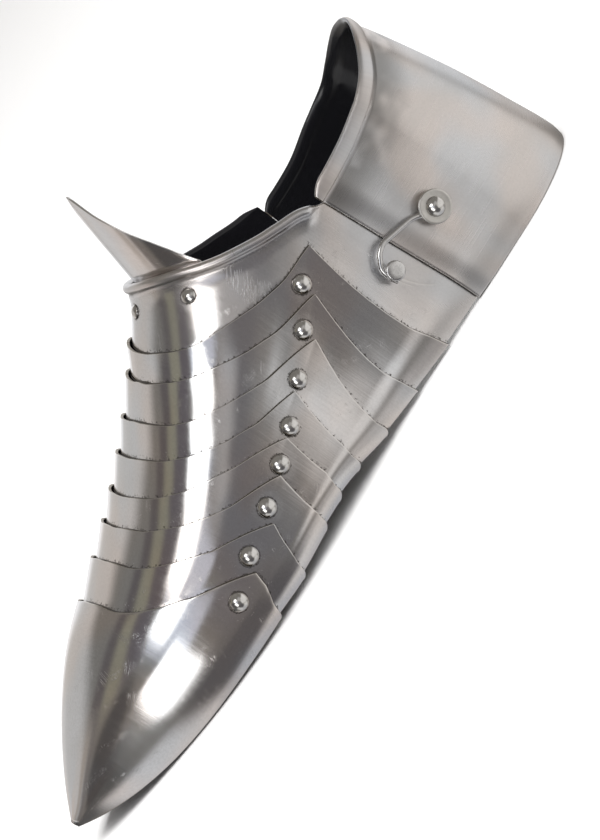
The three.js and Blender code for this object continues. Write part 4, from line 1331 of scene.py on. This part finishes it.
def edge_steel():
    """The cut and filed edges of the plates."""
    material, tree, inputs = new_material("cut_edge_steel")
    marks = noise(fact(tree, "lay", True), 1.3, 3.0, 0.6)
    base = mix_colour(ramp(marks, 0.4, 0.65), (0.40, 0.37, 0.32), (0.20, 0.16, 0.11))
    return finished(material, inputs, base, ramp(marks, 0.3, 0.7, 0.32, 0.5), 1.0, times(marks, 0.04))


def inside_paint(colour):
    """Gloss black paint on the inner faces, with small chips."""
    material, tree, inputs = new_material("black_paint_inside")
    chips = use_group(tree, paint_chips, Place=fact(tree, "lay", True), Edge=fact(tree, "edge_mm"),
                      Share=0.5)
    mask, peel = chips["Chips"], chips["Orange Peel"]
    base = mix_colour(mask, colour, (0.5, 0.49, 0.47))
    return finished(material, inputs, base, ramp(peel, 0.3, 0.7, 0.13, 0.22), mask,
                    minus(times(peel, 0.05), times(mask, 0.06)))


SMALL_DIRT = (0.12, 0.09, 0.06)


def small_steel(name, colour):
    """Turned and drawn steel of rivets, hook and studs, with dirt in its low places."""
    rough, scale, dirt_level = SMALL_FINISHES[name]
    material, tree, inputs = new_material(name)
    place = vector_calc("SCALE", tree.nodes.new("ShaderNodeTexCoord").outputs["Object"])
    place.node.inputs["Scale"].default_value = 1 / MM
    spots = noise(place, scale, 3.0, 0.6)
    fine = noise(place, scale * 4, 2.0, 0.5)
    low = ramp(fact(tree, "low_mm"), 0.15, 1.0, 1.0, 0.0)
    dirt = times(low, ramp(spots, 0.35, 0.6), dirt_level, clamp=True)
    tint = mix_colour(ramp(spots, 0.35, 0.7), colour, darker(colour, 0.9))
    roughness = plus(ramp(fine, 0.3, 0.7, rough - 0.03, rough + 0.05), times(dirt, 0.4), clamp=True)
    return finished(material, inputs, mix_colour(dirt, tint, SMALL_DIRT), roughness, 1.0,
                    plus(times(spots, 0.012), times(fine, 0.002)))


# Settings, operators and panel.

class SabatonPlates(bpy.types.PropertyGroup):
    """Sizes and colours of the plates."""
    columns: IntProperty(
        name="Columns", description="Columns from the ear of a lame to the ridge",
        default=46, min=12, max=120)
    rows: IntProperty(name="Rows", description="Rows along a lame", default=15, min=4, max=60)
    steel_colour: FloatVectorProperty(
        name="Steel", description="Colour of the buffed steel", subtype="COLOR",
        default=(0.725, 0.715, 0.70), min=0, max=1)
    steel_roughness: FloatProperty(
        name="Roughness", description="Roughness of the buffed steel",
        default=0.10, min=0, max=1, subtype="FACTOR")
    heel_roughness: FloatProperty(
        name="Heel roughness", description="Roughness of the satin heel plate", default=0.26, min=0, max=1,
        subtype="FACTOR")
    # Also the colour of the painted shadow lines at seams and round the rivets.
    dirt_and_shadow_colour: FloatVectorProperty(
        name="Dirt and Shadow", description="Colour of the dirt in seams", subtype="COLOR",
        default=(0.026, 0.019, 0.012), min=0, max=1)
    paint_colour: FloatVectorProperty(
        name="Paint", description="Colour of the paint inside", subtype="COLOR",
        default=(0.010, 0.010, 0.012), min=0, max=1)


class SabatonFittings(bpy.types.PropertyGroup):
    """Sizes and colours of rivets, hook and hinge."""
    rivet_sides: IntProperty(
        name="Rivet sides", description="Sides of a rivet head", default=40, min=8, max=96)
    uneven: FloatProperty(
        name="Unevenness", description="How far from round a hand-set rivet head is",
        default=0.012, min=0, max=0.1, subtype="FACTOR")
    rivet_colour: FloatVectorProperty(
        name="Rivet steel", description="Colour of the rivets", subtype="COLOR", default=(0.72, 0.71, 0.69),
        min=0, max=1)
    wire_colour: FloatVectorProperty(
        name="Wire steel", description="Colour of the hook and its studs", subtype="COLOR",
        default=(0.70, 0.695, 0.69), min=0, max=1)


class SabatonStage(bpy.types.PropertyGroup):
    """Floor, light and camera."""
    floor_colour: FloatVectorProperty(
        name="Floor", description="Colour of the floor", subtype="COLOR",
        default=(0.97, 0.97, 0.97), min=0, max=1)
    lamp_power: FloatProperty(
        name="Lamp power", description="Power of the overhead lamp on the floor",
        default=58.0, min=0, unit="POWER")
    room_light: FloatProperty(
        name="Room light", description="Strength of the light from the room", default=1.0, min=0)
    camera_distance: FloatProperty(
        name="Camera distance", description="Distance of the camera from the sabaton", default=1.4, min=0.1,
        unit="LENGTH")


BODIES = ["lame_%d_body" % (k + 1) for k in range(PLATES - 1)] + ["toe_cap_body"]
LABELS = ["lame_%d" % (k + 1) for k in range(PLATES - 1)] + ["toe_cap"]


def plate_materials(looks, kind):
    """The three finishes of a plate: outside, inside and cut edge."""
    buffed = looks.steel_roughness
    made = {
        "lame": dict(rough=buffed, strokes=1.0, waves=1.0, scratches=0.25, dirt=0.85),
        "toe": dict(rough=buffed + 0.02, strokes=1.1, waves=1.0, scratches=0.45, dirt=0.9),
        "instep": dict(rough=buffed + 0.06, strokes=0.9, waves=0.8, scratches=0.3, dirt=0.75,
                       scuff=VAMP_SCUFF, swing=True, head=SMALL_RIVET["head"]),
        # The heel gets a band of painted shade below its hem.
        "heel": dict(rough=looks.heel_roughness, strokes=0.8, waves=1.2, scratches=0.2, dirt=0.6,
                     hem_painted_shade=True),
        "tongue": dict(rough=buffed + 0.03, strokes=1.0, waves=0.8, scratches=0.25, dirt=0.6),
    }
    outside = plate_steel(kind + "_steel", looks, **made[kind])
    inside = bpy.data.materials.get("black_paint_inside") or inside_paint(looks.paint_colour)
    edge = bpy.data.materials.get("cut_edge_steel") or edge_steel()
    return [outside, inside, edge]


class SABATON_OT_lames(bpy.types.Operator):
    """Builds the seven lames and the toe cap"""
    bl_idname = "sabaton.lames"
    bl_label = "Lames and toe cap"

    def execute(self, context):
        looks = context.scene.sabaton_plates
        finishes = [plate_materials(looks, "lame")] * (PLATES - 1) + [plate_materials(looks, "toe")]
        rows = [looks.rows] * (PLATES - 1) + [looks.rows * 3]
        for k, name in enumerate(LABELS):
            make_piece(name + "_plate", [name], BODIES[k], "plate", finishes[k],
                       *lame_or_cap(k, looks.columns, rows[k]))
        return {"FINISHED"}


class SABATON_OT_instep(bpy.types.Operator):
    """Builds the instep plate with its rolled rim, and the tongue"""
    bl_idname = "sabaton.instep"
    bl_label = "Instep plate and tongue"

    def execute(self, context):
        looks = context.scene.sabaton_plates
        finish = plate_materials(looks, "instep")
        plate = instep_plate(looks.columns + RIM_COLUMNS, looks.rows * 2)
        make_piece("instep_with_rolled_rim", ["instep_plate"], "instep", "plate", finish, *plate)
        finish = plate_materials(looks, "tongue")
        make_piece("tongue_leaf", ["tongue"], "instep", "plate", finish, *tongue(TONGUE["columns"]))
        return {"FINISHED"}


class SABATON_OT_heel(bpy.types.Operator):
    """Builds the heel plate with its hem"""
    bl_idname = "sabaton.heel"
    bl_label = "Heel plate"

    def execute(self, context):
        looks = context.scene.sabaton_plates
        make_piece("heel_with_hem", ["heel_plate"], "heel", "plate", plate_materials(looks, "heel"),
                   *heel_plate(looks.columns, looks.rows * 3))
        return {"FINISHED"}


# The height kept on every point of a small piece that stays clean.
CLEAN = 9.0


def make_fitting(name, node, body, steel, solid, sharp, slot="wire", low=None):
    """A small steel piece. low is the height of each point above its base, for the dirt at its foot."""
    points, faces = solid
    low = np.full(len(points), CLEAN) if low is None else low
    make_piece(name, [node], body, slot, [steel], points, faces, None, {"low_mm": low}, sharp)


def make_rivet(name, node, body, steel, size, grip, place, direction, sides, uneven, seed):
    """A rivet whose head sits on a point and faces a direction."""
    points, faces = turned(head_profile(size, grip), sides, uneven, seed)
    points = along(direction, points, place)
    low = np.abs((points - np.asarray(place)) @ np.asarray(direction))
    make_fitting(name, node, body, steel, (points, faces), SHARP["turned"], "rivet", low)


class SABATON_OT_rivets(bpy.types.Operator):
    """Builds the hinge rivets of the lames and the rivets of the tongue"""
    bl_idname = "sabaton.rivets"
    bl_label = "Rivets"

    def execute(self, context):
        fittings = context.scene.sabaton_fittings
        steel = small_steel("rivet_steel", tuple(fittings.rivet_colour))
        rivets = []
        for k, label in enumerate(LABELS):
            for side, word in enumerate(("outer", "inner")):
                rivets.append(("%s_rivet_%s" % (label, word), BODIES[k], RIVET, GRIP, *hinge_place(k, side)))
        for row in TONGUE_RIVETS:
            rivets.append((row["name"], "instep", SMALL_RIVET, PLATE + TONGUE["depth"] + 2 * GAP,
                           *tongue_rivet_place(row)))
        for seed, (node, body, size, grip, place, direction) in enumerate(rivets):
            make_rivet(node + "_head", node, body, steel, size, grip, place, direction, fittings.rivet_sides,
                       fittings.uneven, seed)
        return {"FINISHED"}


def hook_line():
    """The hook's wire: an eye round the pivot, a straight shank, a bend and an end over the stud's neck."""
    pivot, bend, stud = (np.array(HOOK[key]) for key in ("pivot", "bend", "stud"))
    heading = math.atan2(*(bend - pivot)[::-1])
    around = 2 * math.pi - 2 * HOOK["eye_open"]
    turn = heading - HOOK["eye_open"] - around + around * np.linspace(0, 1, 25)
    ring = pivot + HOOK["eye"] * np.stack([np.cos(turn), np.sin(turn)], -1)
    radius = np.linalg.norm(stud - pivot) + HOOK["neck"] + HOOK["wire"] + HOOK["clear"]
    stud_turn = math.atan2(*(stud - pivot)[::-1])
    end_turn = stud_turn + HOOK["end_before"] - HOOK["end_turn"] * np.linspace(0, 1, 5)
    end = pivot + radius * np.stack([np.cos(end_turn), np.sin(end_turn)], -1)
    corners = [ring[-1], pivot + HOOK["shank"], bend + HOOK["bend_in"], bend + HOOK["bend_out"], *end[::2]]
    line = np.concatenate([ring[:-1], rounded_path(corners, HOOK["bend_radius"], 9)])
    keep = [0]
    for i in range(1, len(line)):
        if np.linalg.norm(line[i] - line[keep[-1]]) > HOOK["shortest"]:
            keep.append(i)
    line = line[keep]
    return np.stack([line[:, 0] - MIDDLE, 0 * line[:, 0] + hook_out(), line[:, 1]], -1)


class SABATON_OT_hook(bpy.types.Operator):
    """Builds the hook, its washer and pivot, and the stud that it catches"""
    bl_idname = "sabaton.hook"
    bl_label = "Hook and studs"

    def execute(self, context):
        fittings = context.scene.sabaton_fittings
        wire = small_steel("hook_wire_steel", tuple(fittings.wire_colour))
        washer_steel = small_steel("washer_steel", WASHER_COLOUR)
        stud_steel = small_steel("stud_steel", tuple(fittings.wire_colour))
        outer = np.array([0, 1.0, 0])
        line = hook_line()
        radii = np.full(len(line), HOOK["wire"])
        radii[[0, -1]] *= WIRE_END
        make_fitting("hook_wire", "hook", "hook_body", wire, swept(line, radii, WIRE_SIDES), SHARP["wire"])

        low = hook_out() + HOOK["wire"] + GAP
        pivot_s, pivot_z = HOOK["pivot"]
        washer, thick, hole = HOOK["washer"], HOOK["washer_thick"], HOOK["washer_hole"]
        profile = [(hole, 0.0), (washer - 0.3, 0.0), (washer, 0.25), (washer, thick - 0.35),
                   (washer - 0.12, thick - 0.12), (washer - 0.4, thick), (washer - 0.9, thick - 0.05),
                   (HOOK["washer_flat"], thick - 0.1), (hole, thick - 0.1)]
        points, faces = turned(profile, *TURNED["washer"])
        points = along(outer, points, [pivot_s - MIDDLE, low, pivot_z])
        make_fitting("washer_under_pivot", "hook_washer", "heel", washer_steel, (points, faces),
                     SHARP["turned"])

        seat = low + thick - 0.1
        inside = heel_outer(pivot_z) - PLATE - GAP
        make_rivet("pivot_dome", "hook_pivot", "heel", bpy.data.materials["rivet_steel"], PIVOT_DOME,
                   seat - inside, np.array([pivot_s - MIDDLE, seat, pivot_z]), outer, *TURNED["pivot"])

        s, z = HOOK["stud"]
        face = float(shape(s, float(angle_at(s, z)), RAISE - float(step_at(HOOK["stud_angle"])))[1])
        inner = face - PLATE - 2 * GAP
        head, neck, top = HOOK["stud_head"], HOOK["neck"], low + HOOK["stud_thick"]
        tail = SMALL_RIVET["tail"]
        profile = [(tail, inner - 0.8), (tail + 0.4, inner - 0.5), (tail + 0.4, inner), (neck, inner),
                   (neck, low), (head - 0.5, low), (head - 0.1, low + 0.2), (head, low + 0.5),
                   (head, top - 0.7), (head - 0.15, top - 0.35), (head - 0.5, top - 0.12), (head - 1.0, top),
                   (head * 0.4, top + 0.02)]
        points, faces = turned(profile, *TURNED["stud"])
        points = along(outer, points, [s - MIDDLE, 0, z])
        make_fitting("catch_stud", "hook_stud", "instep", stud_steel, (points, faces), SHARP["turned"])
        return {"FINISHED"}


def flat_leaf(low, high, rounding):
    """A flat plate between two opposite corners, with rounded corners and broken edges."""
    left, right, bottom, top = low[0] + rounding, high[0] - rounding, low[2] + rounding, high[2] - rounding
    corners = []
    for x, z, start in ((right, top, 0), (left, top, 90), (left, bottom, 180), (right, bottom, 270)):
        for t in np.linspace(0, 90, CORNER_STEPS):
            a = math.radians(start + t)
            corners.append((x, z, math.cos(a), math.sin(a)))
    rings = []
    for y, shrink in ((high[1], BEVEL), (high[1] - BEVEL, 0), (low[1] + BEVEL, 0), (low[1], BEVEL)):
        radius = rounding - shrink
        rings.append([(x + radius * c, y, z + radius * s) for x, z, c, s in corners])
    count = len(corners)
    faces = ring_quads(len(rings), count)
    faces.append(tuple(range(count))[::-1])
    faces.append(tuple(range(3 * count, 4 * count)))
    return np.array(rings).reshape(-1, 3), faces


def joined(shapes):
    """Several closed shapes as one list of points and faces."""
    points, faces, base = [], [], 0
    for p, f in shapes:
        points.append(p)
        faces += [tuple(v + base for v in face) for face in f]
        base += len(p)
    return np.concatenate(points), faces


def hinge_leaf(forward, x, axis, face):
    """A leaf of the side hinge with its knuckles: the forward one has the first and the last of three."""
    h = SIDE_HINGE
    barrel, sign = h["barrel"], 1 if forward else -1
    start, end = leaf_ends()
    ends = sorted([x + sign * start, x + sign * end])
    shapes = [flat_leaf((ends[0], face, h["low"]), (ends[1], face + h["leaf"], h["high"]),
                        h["leaf_round"])]
    tall = (h["high"] - h["low"]) / 3
    for i in (0, 2) if forward else (1,):
        low = h["low"] + tall * i + (GAP / 2 if i else 0)
        high = h["low"] + tall * (i + 1) - (GAP / 2 if i < 2 else 0)
        soft, bore = KNUCKLE_EDGE, h["bore"]
        profile = [(bore, low), (barrel - soft, low), (barrel, low + soft), (barrel, high - soft),
                   (barrel - soft, high), (bore, high)]
        knuckle, quads = turned(profile, *TURNED["knuckle"])
        shapes.append((knuckle + [x, axis, 0], quads))
        strap = sorted([x, x + sign * (barrel * LEAF_START + h["strap"])])
        shapes.append(flat_leaf((strap[0], face, low + h["strap_in"]),
                                (strap[1], face + h["leaf"], high - h["strap_in"]), h["strap_round"]))
    return joined(shapes)


class SABATON_OT_hinge(bpy.types.Operator):
    """Builds the side hinge: two leaves with knuckles, their rivets and the pin"""
    bl_idname = "sabaton.hinge"
    bl_label = "Side hinge"

    def execute(self, context):
        fittings = context.scene.sabaton_fittings
        steel = small_steel("hinge_steel", tuple(fittings.wire_colour))
        h = SIDE_HINGE
        x = SEAM - MIDDLE
        axis = -hinge_out()
        face = axis + h["barrel"] - h["leaf"]
        for forward, body in ((True, "instep"), (False, "heel")):
            name = "hinge_leaf_" + body
            leaf = hinge_leaf(forward, x, axis, face)
            make_fitting(name + "_with_knuckles", name, body, steel, leaf, SHARP["leaf"])
            for i, z in enumerate((h["low"] + h["rivet_up"], h["high"] - h["rivet_up"])):
                node = "%s_rivet_%d" % (name, i + 1)
                s = SEAM + (1 if forward else -1) * h["rivet_at"]
                behind = inner_face(s, 180 - float(angle_at(s, z))) if forward else float(side_at(z))
                make_rivet(node + "_head", node, body, bpy.data.materials["rivet_steel"], SMALL_RIVET,
                           -face - behind + PLATE + 2 * GAP, np.array([s - MIDDLE, face, z]), (0, -1, 0),
                           fittings.rivet_sides, fittings.uneven, LEAF_SEED + i + 2 * forward)
        low, high, pin, cap = h["low"] - h["pin_past"], h["high"] + h["pin_past"], h["pin"], h["pin_head"]
        profile = [(cap - 0.7, low), (cap - 0.1, low + 0.25), (cap, low + 0.6), (cap, h["low"] - GAP),
                   (pin, h["low"] - GAP), (pin, h["high"] + GAP), (cap, h["high"] + GAP), (cap, high - 0.6),
                   (cap - 0.1, high - 0.25), (cap - 0.7, high)]
        points, faces = turned(profile, *TURNED["pin"])
        pin_solid = points + [x, axis, 0], faces
        make_fitting("hinge_pin_upset", "hinge_pin", "instep", steel, pin_solid, SHARP["turned"])
        return {"FINISHED"}


# The camera: its direction and roll, its scale at the middle of the sabaton, and one matched point.
CAMERA = {
    "azimuth": 10.0,
    "elevation": 14.2,
    "roll": 54.7,
    "pixels_a_mm": 2.606,
    "middle": (1.5, 0.0, 45.0),
    "point": (165.5, 0.0, 11.6),
    "point_pixel": (75.0, 826.0),
}
PICTURE = (600, 840)
FILM = 36.0
CLIP = (0.01, 100)

# The room as its light falls on the steel: azimuth and elevation of each soft patch, its half size, the
# softness of its edge and its turn in degrees, and its colour.
ROOM = [
    {"at": (-120, 12), "half": (38, 24), "soft": 8, "colour": (1.02, 1.02, 1.03)},
    {"at": (-50, 22), "half": (38, 22), "soft": 7, "colour": (0.63, 0.61, 0.59)},
    {"at": (-48, 3), "half": (34, 9), "soft": 5, "colour": (0.76, 0.73, 0.71)},
    {"at": (-22, 24), "half": (6, 20), "soft": 4, "colour": (0.44, 0.40, 0.36)},
    {"at": (-8, 20), "half": (5, 24), "soft": 4, "colour": (0.22, 0.20, 0.19)},
    {"at": (-16, 58), "half": (8, 13), "soft": 4, "colour": (0.14, 0.125, 0.125)},
    {"at": (8, 56), "half": (8, 13), "soft": 4, "colour": (0.31, 0.29, 0.225)},
    {"at": (31, 54), "half": (7, 13), "soft": 3, "colour": (0.15, 0.132, 0.14)},
    {"at": (17, 12), "half": (14, 28), "soft": 4, "colour": (0.10, 0.095, 0.095)},
    {"at": (-12, -18), "half": (38, 11), "soft": 5, "colour": (0.12, 0.12, 0.12)},
    {"at": (150, -18), "half": (48, 28), "soft": 8, "colour": (0.86, 0.84, 0.82)},
    {"at": (130, -60), "half": (24, 14), "soft": 8, "colour": (0.76, 0.74, 0.72)},
    {"at": (110, 12), "half": (12, 15), "soft": 6, "colour": (0.50, 0.48, 0.46)},
    {"at": (68, -38), "half": (22, 24), "soft": 9, "colour": (0.13, 0.125, 0.13)},
    {"at": (24, -44), "half": (13, 22), "soft": 7, "colour": (0.74, 0.73, 0.73)},
    {"at": (84, 0), "half": (13, 15), "soft": 5, "colour": (0.19, 0.18, 0.185)},
    {"at": (106, 24), "half": (26, 10), "soft": 6, "colour": (0.48, 0.465, 0.46)},
    {"at": (61, 28), "turn": 16, "half": (10, 20), "soft": 3, "colour": (0.66, 0.69, 0.78)},
    {"at": (66, 43), "turn": 10, "half": (14, 11), "soft": 2.5, "colour": (3.0, 3.0, 3.0)},
    {"at": (49, 5), "turn": 6, "half": (10, 17), "soft": 2, "colour": (2.8, 2.8, 2.8)},
]
ROOM_BASE = (0.235, 0.222, 0.205)
ROOM_BELOW = (0.55, 0.55, 0.57)
BELOW_FROM = (-0.72, -0.92)


def direction_of(azimuth, elevation):
    a, e = math.radians(azimuth), math.radians(elevation)
    return Vector((math.cos(a) * math.cos(e), math.sin(a) * math.cos(e), math.sin(e)))


def build_room(strength):
    """The room: soft patches of light for the steel to mirror, and plain white for the camera."""
    world = bpy.data.worlds.new("studio_room")
    world.use_nodes = True
    tree = world.node_tree
    tree.nodes.clear()
    way = tree.nodes.new("ShaderNodeTexCoord").outputs["Generated"]
    split = tree.nodes.new("ShaderNodeSeparateXYZ")
    feed(split.inputs[0], way)
    below = ramp(split.outputs["Z"], *BELOW_FROM)
    colour = mix_colour(below, ROOM_BASE, ROOM_BELOW)
    for patch in ROOM:
        centre = direction_of(*patch["at"])
        side = direction_of(patch["at"][0] + 90, 0)
        up = centre.cross(side)
        turn = Matrix.Rotation(math.radians(patch.get("turn", 0)), 3, centre)
        side, up = turn @ side, turn @ up
        wide, tall = (math.tan(math.radians(v)) for v in patch["half"])
        box = use_group(tree, light_box, Direction=way, Centre=centre, Side=side, Up=up, Half_Width=wide,
                        Half_Height=tall, Softness=math.tan(math.radians(patch["soft"])))
        colour = mix_colour(box["Light"], colour, patch["colour"])
    room = tree.nodes.new("ShaderNodeBackground")
    feed(room.inputs["Color"], colour)
    room.inputs["Strength"].default_value = strength
    plain = tree.nodes.new("ShaderNodeBackground")
    plain.inputs["Color"].default_value = (1, 1, 1, 1)
    choose = tree.nodes.new("ShaderNodeMixShader")
    seen = tree.nodes.new("ShaderNodeLightPath").outputs["Is Camera Ray"]
    for target, source in zip(choose.inputs, (seen, room.outputs[0], plain.outputs[0])):
        feed(target, source)
    feed(tree.nodes.new("ShaderNodeOutputWorld").inputs["Surface"], choose.outputs[0])
    bpy.context.scene.world = world


def build_camera(distance):
    """A camera at the matched direction, with the frame shifted so that the toe falls on its place."""
    spec = CAMERA
    a, e, roll = (math.radians(spec[key]) for key in ("azimuth", "elevation", "roll"))
    back = Vector((math.sin(a) * math.cos(e), math.cos(a) * math.cos(e), math.sin(e)))
    level = Vector((-math.cos(a), math.sin(a), 0))
    upright = back.cross(level)
    right = level * math.cos(roll) - upright * math.sin(roll)
    up = level * math.sin(roll) + upright * math.cos(roll)
    middle, point = Vector(spec["middle"]) * MM, Vector(spec["point"]) * MM
    focal = spec["pixels_a_mm"] * distance / MM
    to_point = point - middle
    depth = distance - to_point.dot(back)
    across, upward = (focal * to_point.dot(v) / depth for v in (right, up))
    data = bpy.data.cameras.new("camera")
    data.sensor_width = FILM
    data.lens = focal / PICTURE[1] * FILM
    data.shift_x = (PICTURE[0] / 2 + across - spec["point_pixel"][0]) / PICTURE[1]
    data.shift_y = (spec["point_pixel"][1] + upward - PICTURE[1] / 2) / PICTURE[1]
    data.clip_start, data.clip_end = CLIP
    camera = bpy.data.objects.new("camera", data)
    bpy.context.scene.collection.objects.link(camera)
    turn = Matrix((right, up, back)).transposed()
    camera.matrix_world = Matrix.Translation(middle + back * distance) @ turn.to_4x4()
    bpy.context.scene.camera = camera


FLOOR = {"half_size": 6.0, "drop": 0.0002, "grain": 60.0}
# The lamps: place and size in metres, and share of the lamp power.
LAMPS = [
    {"name": "overhead_lamp", "place": (0.3, 0.4, 2.2), "size": 2.0, "share": 1.0},
    {"name": "side_lamp", "place": (-1.5, 1.2, 1.2), "size": 1.6, "share": 0.4},
]


def build_floor(colour):
    """A plain white floor."""
    size = FLOOR["half_size"]
    points = [(-size, -size, 0), (size, -size, 0), (size, size, 0), (-size, size, 0)]
    mesh = bpy.data.meshes.new("floor")
    mesh.from_pydata(points, [], [(0, 1, 2, 3)])
    floor = bpy.data.objects.new("floor", mesh)
    bpy.context.scene.collection.objects.link(floor)
    floor.location.z = -FLOOR["drop"]
    material, tree, inputs = new_material("floor_paper")
    grain = noise(tree.nodes.new("ShaderNodeTexCoord").outputs["Object"], FLOOR["grain"])
    feed(inputs["Base Color"], mix_colour(grain, colour, darker(colour, 0.985)))
    inputs["Roughness"].default_value = 0.9
    mesh.materials.append(material)
    floor.visible_glossy = False


def build_lamp(name, place, size, power):
    data = bpy.data.lights.new(name, "AREA")
    data.shape = "SQUARE"
    data.size = size
    data.energy = power
    lamp = bpy.data.objects.new(name, data)
    lamp.location = place
    lamp.rotation_mode = "QUATERNION"
    lamp.rotation_quaternion = (-Vector(place)).to_track_quat("-Z", "Y")
    lamp.visible_glossy = False
    lamp.visible_camera = False
    bpy.context.scene.collection.objects.link(lamp)


class SABATON_OT_stage(bpy.types.Operator):
    """Builds the floor, the room's light, the lamps and the camera"""
    bl_idname = "sabaton.stage"
    bl_label = "Floor, light and camera"

    def execute(self, context):
        stage = context.scene.sabaton_stage
        build_floor(tuple(stage.floor_colour))
        build_room(stage.room_light)
        for lamp in LAMPS:
            build_lamp(lamp["name"], lamp["place"], lamp["size"], stage.lamp_power * lamp["share"])
        build_camera(stage.camera_distance)
        context.scene.view_settings.view_transform = "Standard"
        return {"FINISHED"}


OPERATORS = [
    SABATON_OT_stage,
    SABATON_OT_lames,
    SABATON_OT_instep,
    SABATON_OT_heel,
    SABATON_OT_rivets,
    SABATON_OT_hook,
    SABATON_OT_hinge,
]
SETTINGS = {
    "sabaton_plates": SabatonPlates,
    "sabaton_fittings": SabatonFittings,
    "sabaton_stage": SabatonStage,
}


class SABATON_PT_panel(bpy.types.Panel):
    """Lists the sabaton's settings and operators"""
    bl_idname = "SABATON_PT_panel"
    bl_label = "Sabaton"
    bl_space_type = "VIEW_3D"
    bl_region_type = "UI"
    bl_category = "Sabaton"

    def draw(self, context):
        for key in SETTINGS:
            settings = getattr(context.scene, key)
            box = self.layout.box()
            for name in settings.__annotations__:
                box.prop(settings, name)
        for operator in OPERATORS:
            self.layout.operator(operator.bl_idname)


def register():
    for key, settings in SETTINGS.items():
        bpy.utils.register_class(settings)
        setattr(bpy.types.Scene, key, PointerProperty(type=settings))
    for made in (*OPERATORS, SABATON_PT_panel):
        bpy.utils.register_class(made)


def unregister():
    for made in (SABATON_PT_panel, *reversed(OPERATORS)):
        bpy.utils.unregister_class(made)
    for key, settings in SETTINGS.items():
        delattr(bpy.types.Scene, key)
        bpy.utils.unregister_class(settings)


def main():
    register()
    bpy.ops.sabaton.stage()
    bpy.ops.sabaton.lames()
    bpy.ops.sabaton.instep()
    bpy.ops.sabaton.heel()
    bpy.ops.sabaton.rivets()
    bpy.ops.sabaton.hook()
    bpy.ops.sabaton.hinge()


if __name__ == "__main__":
    main()
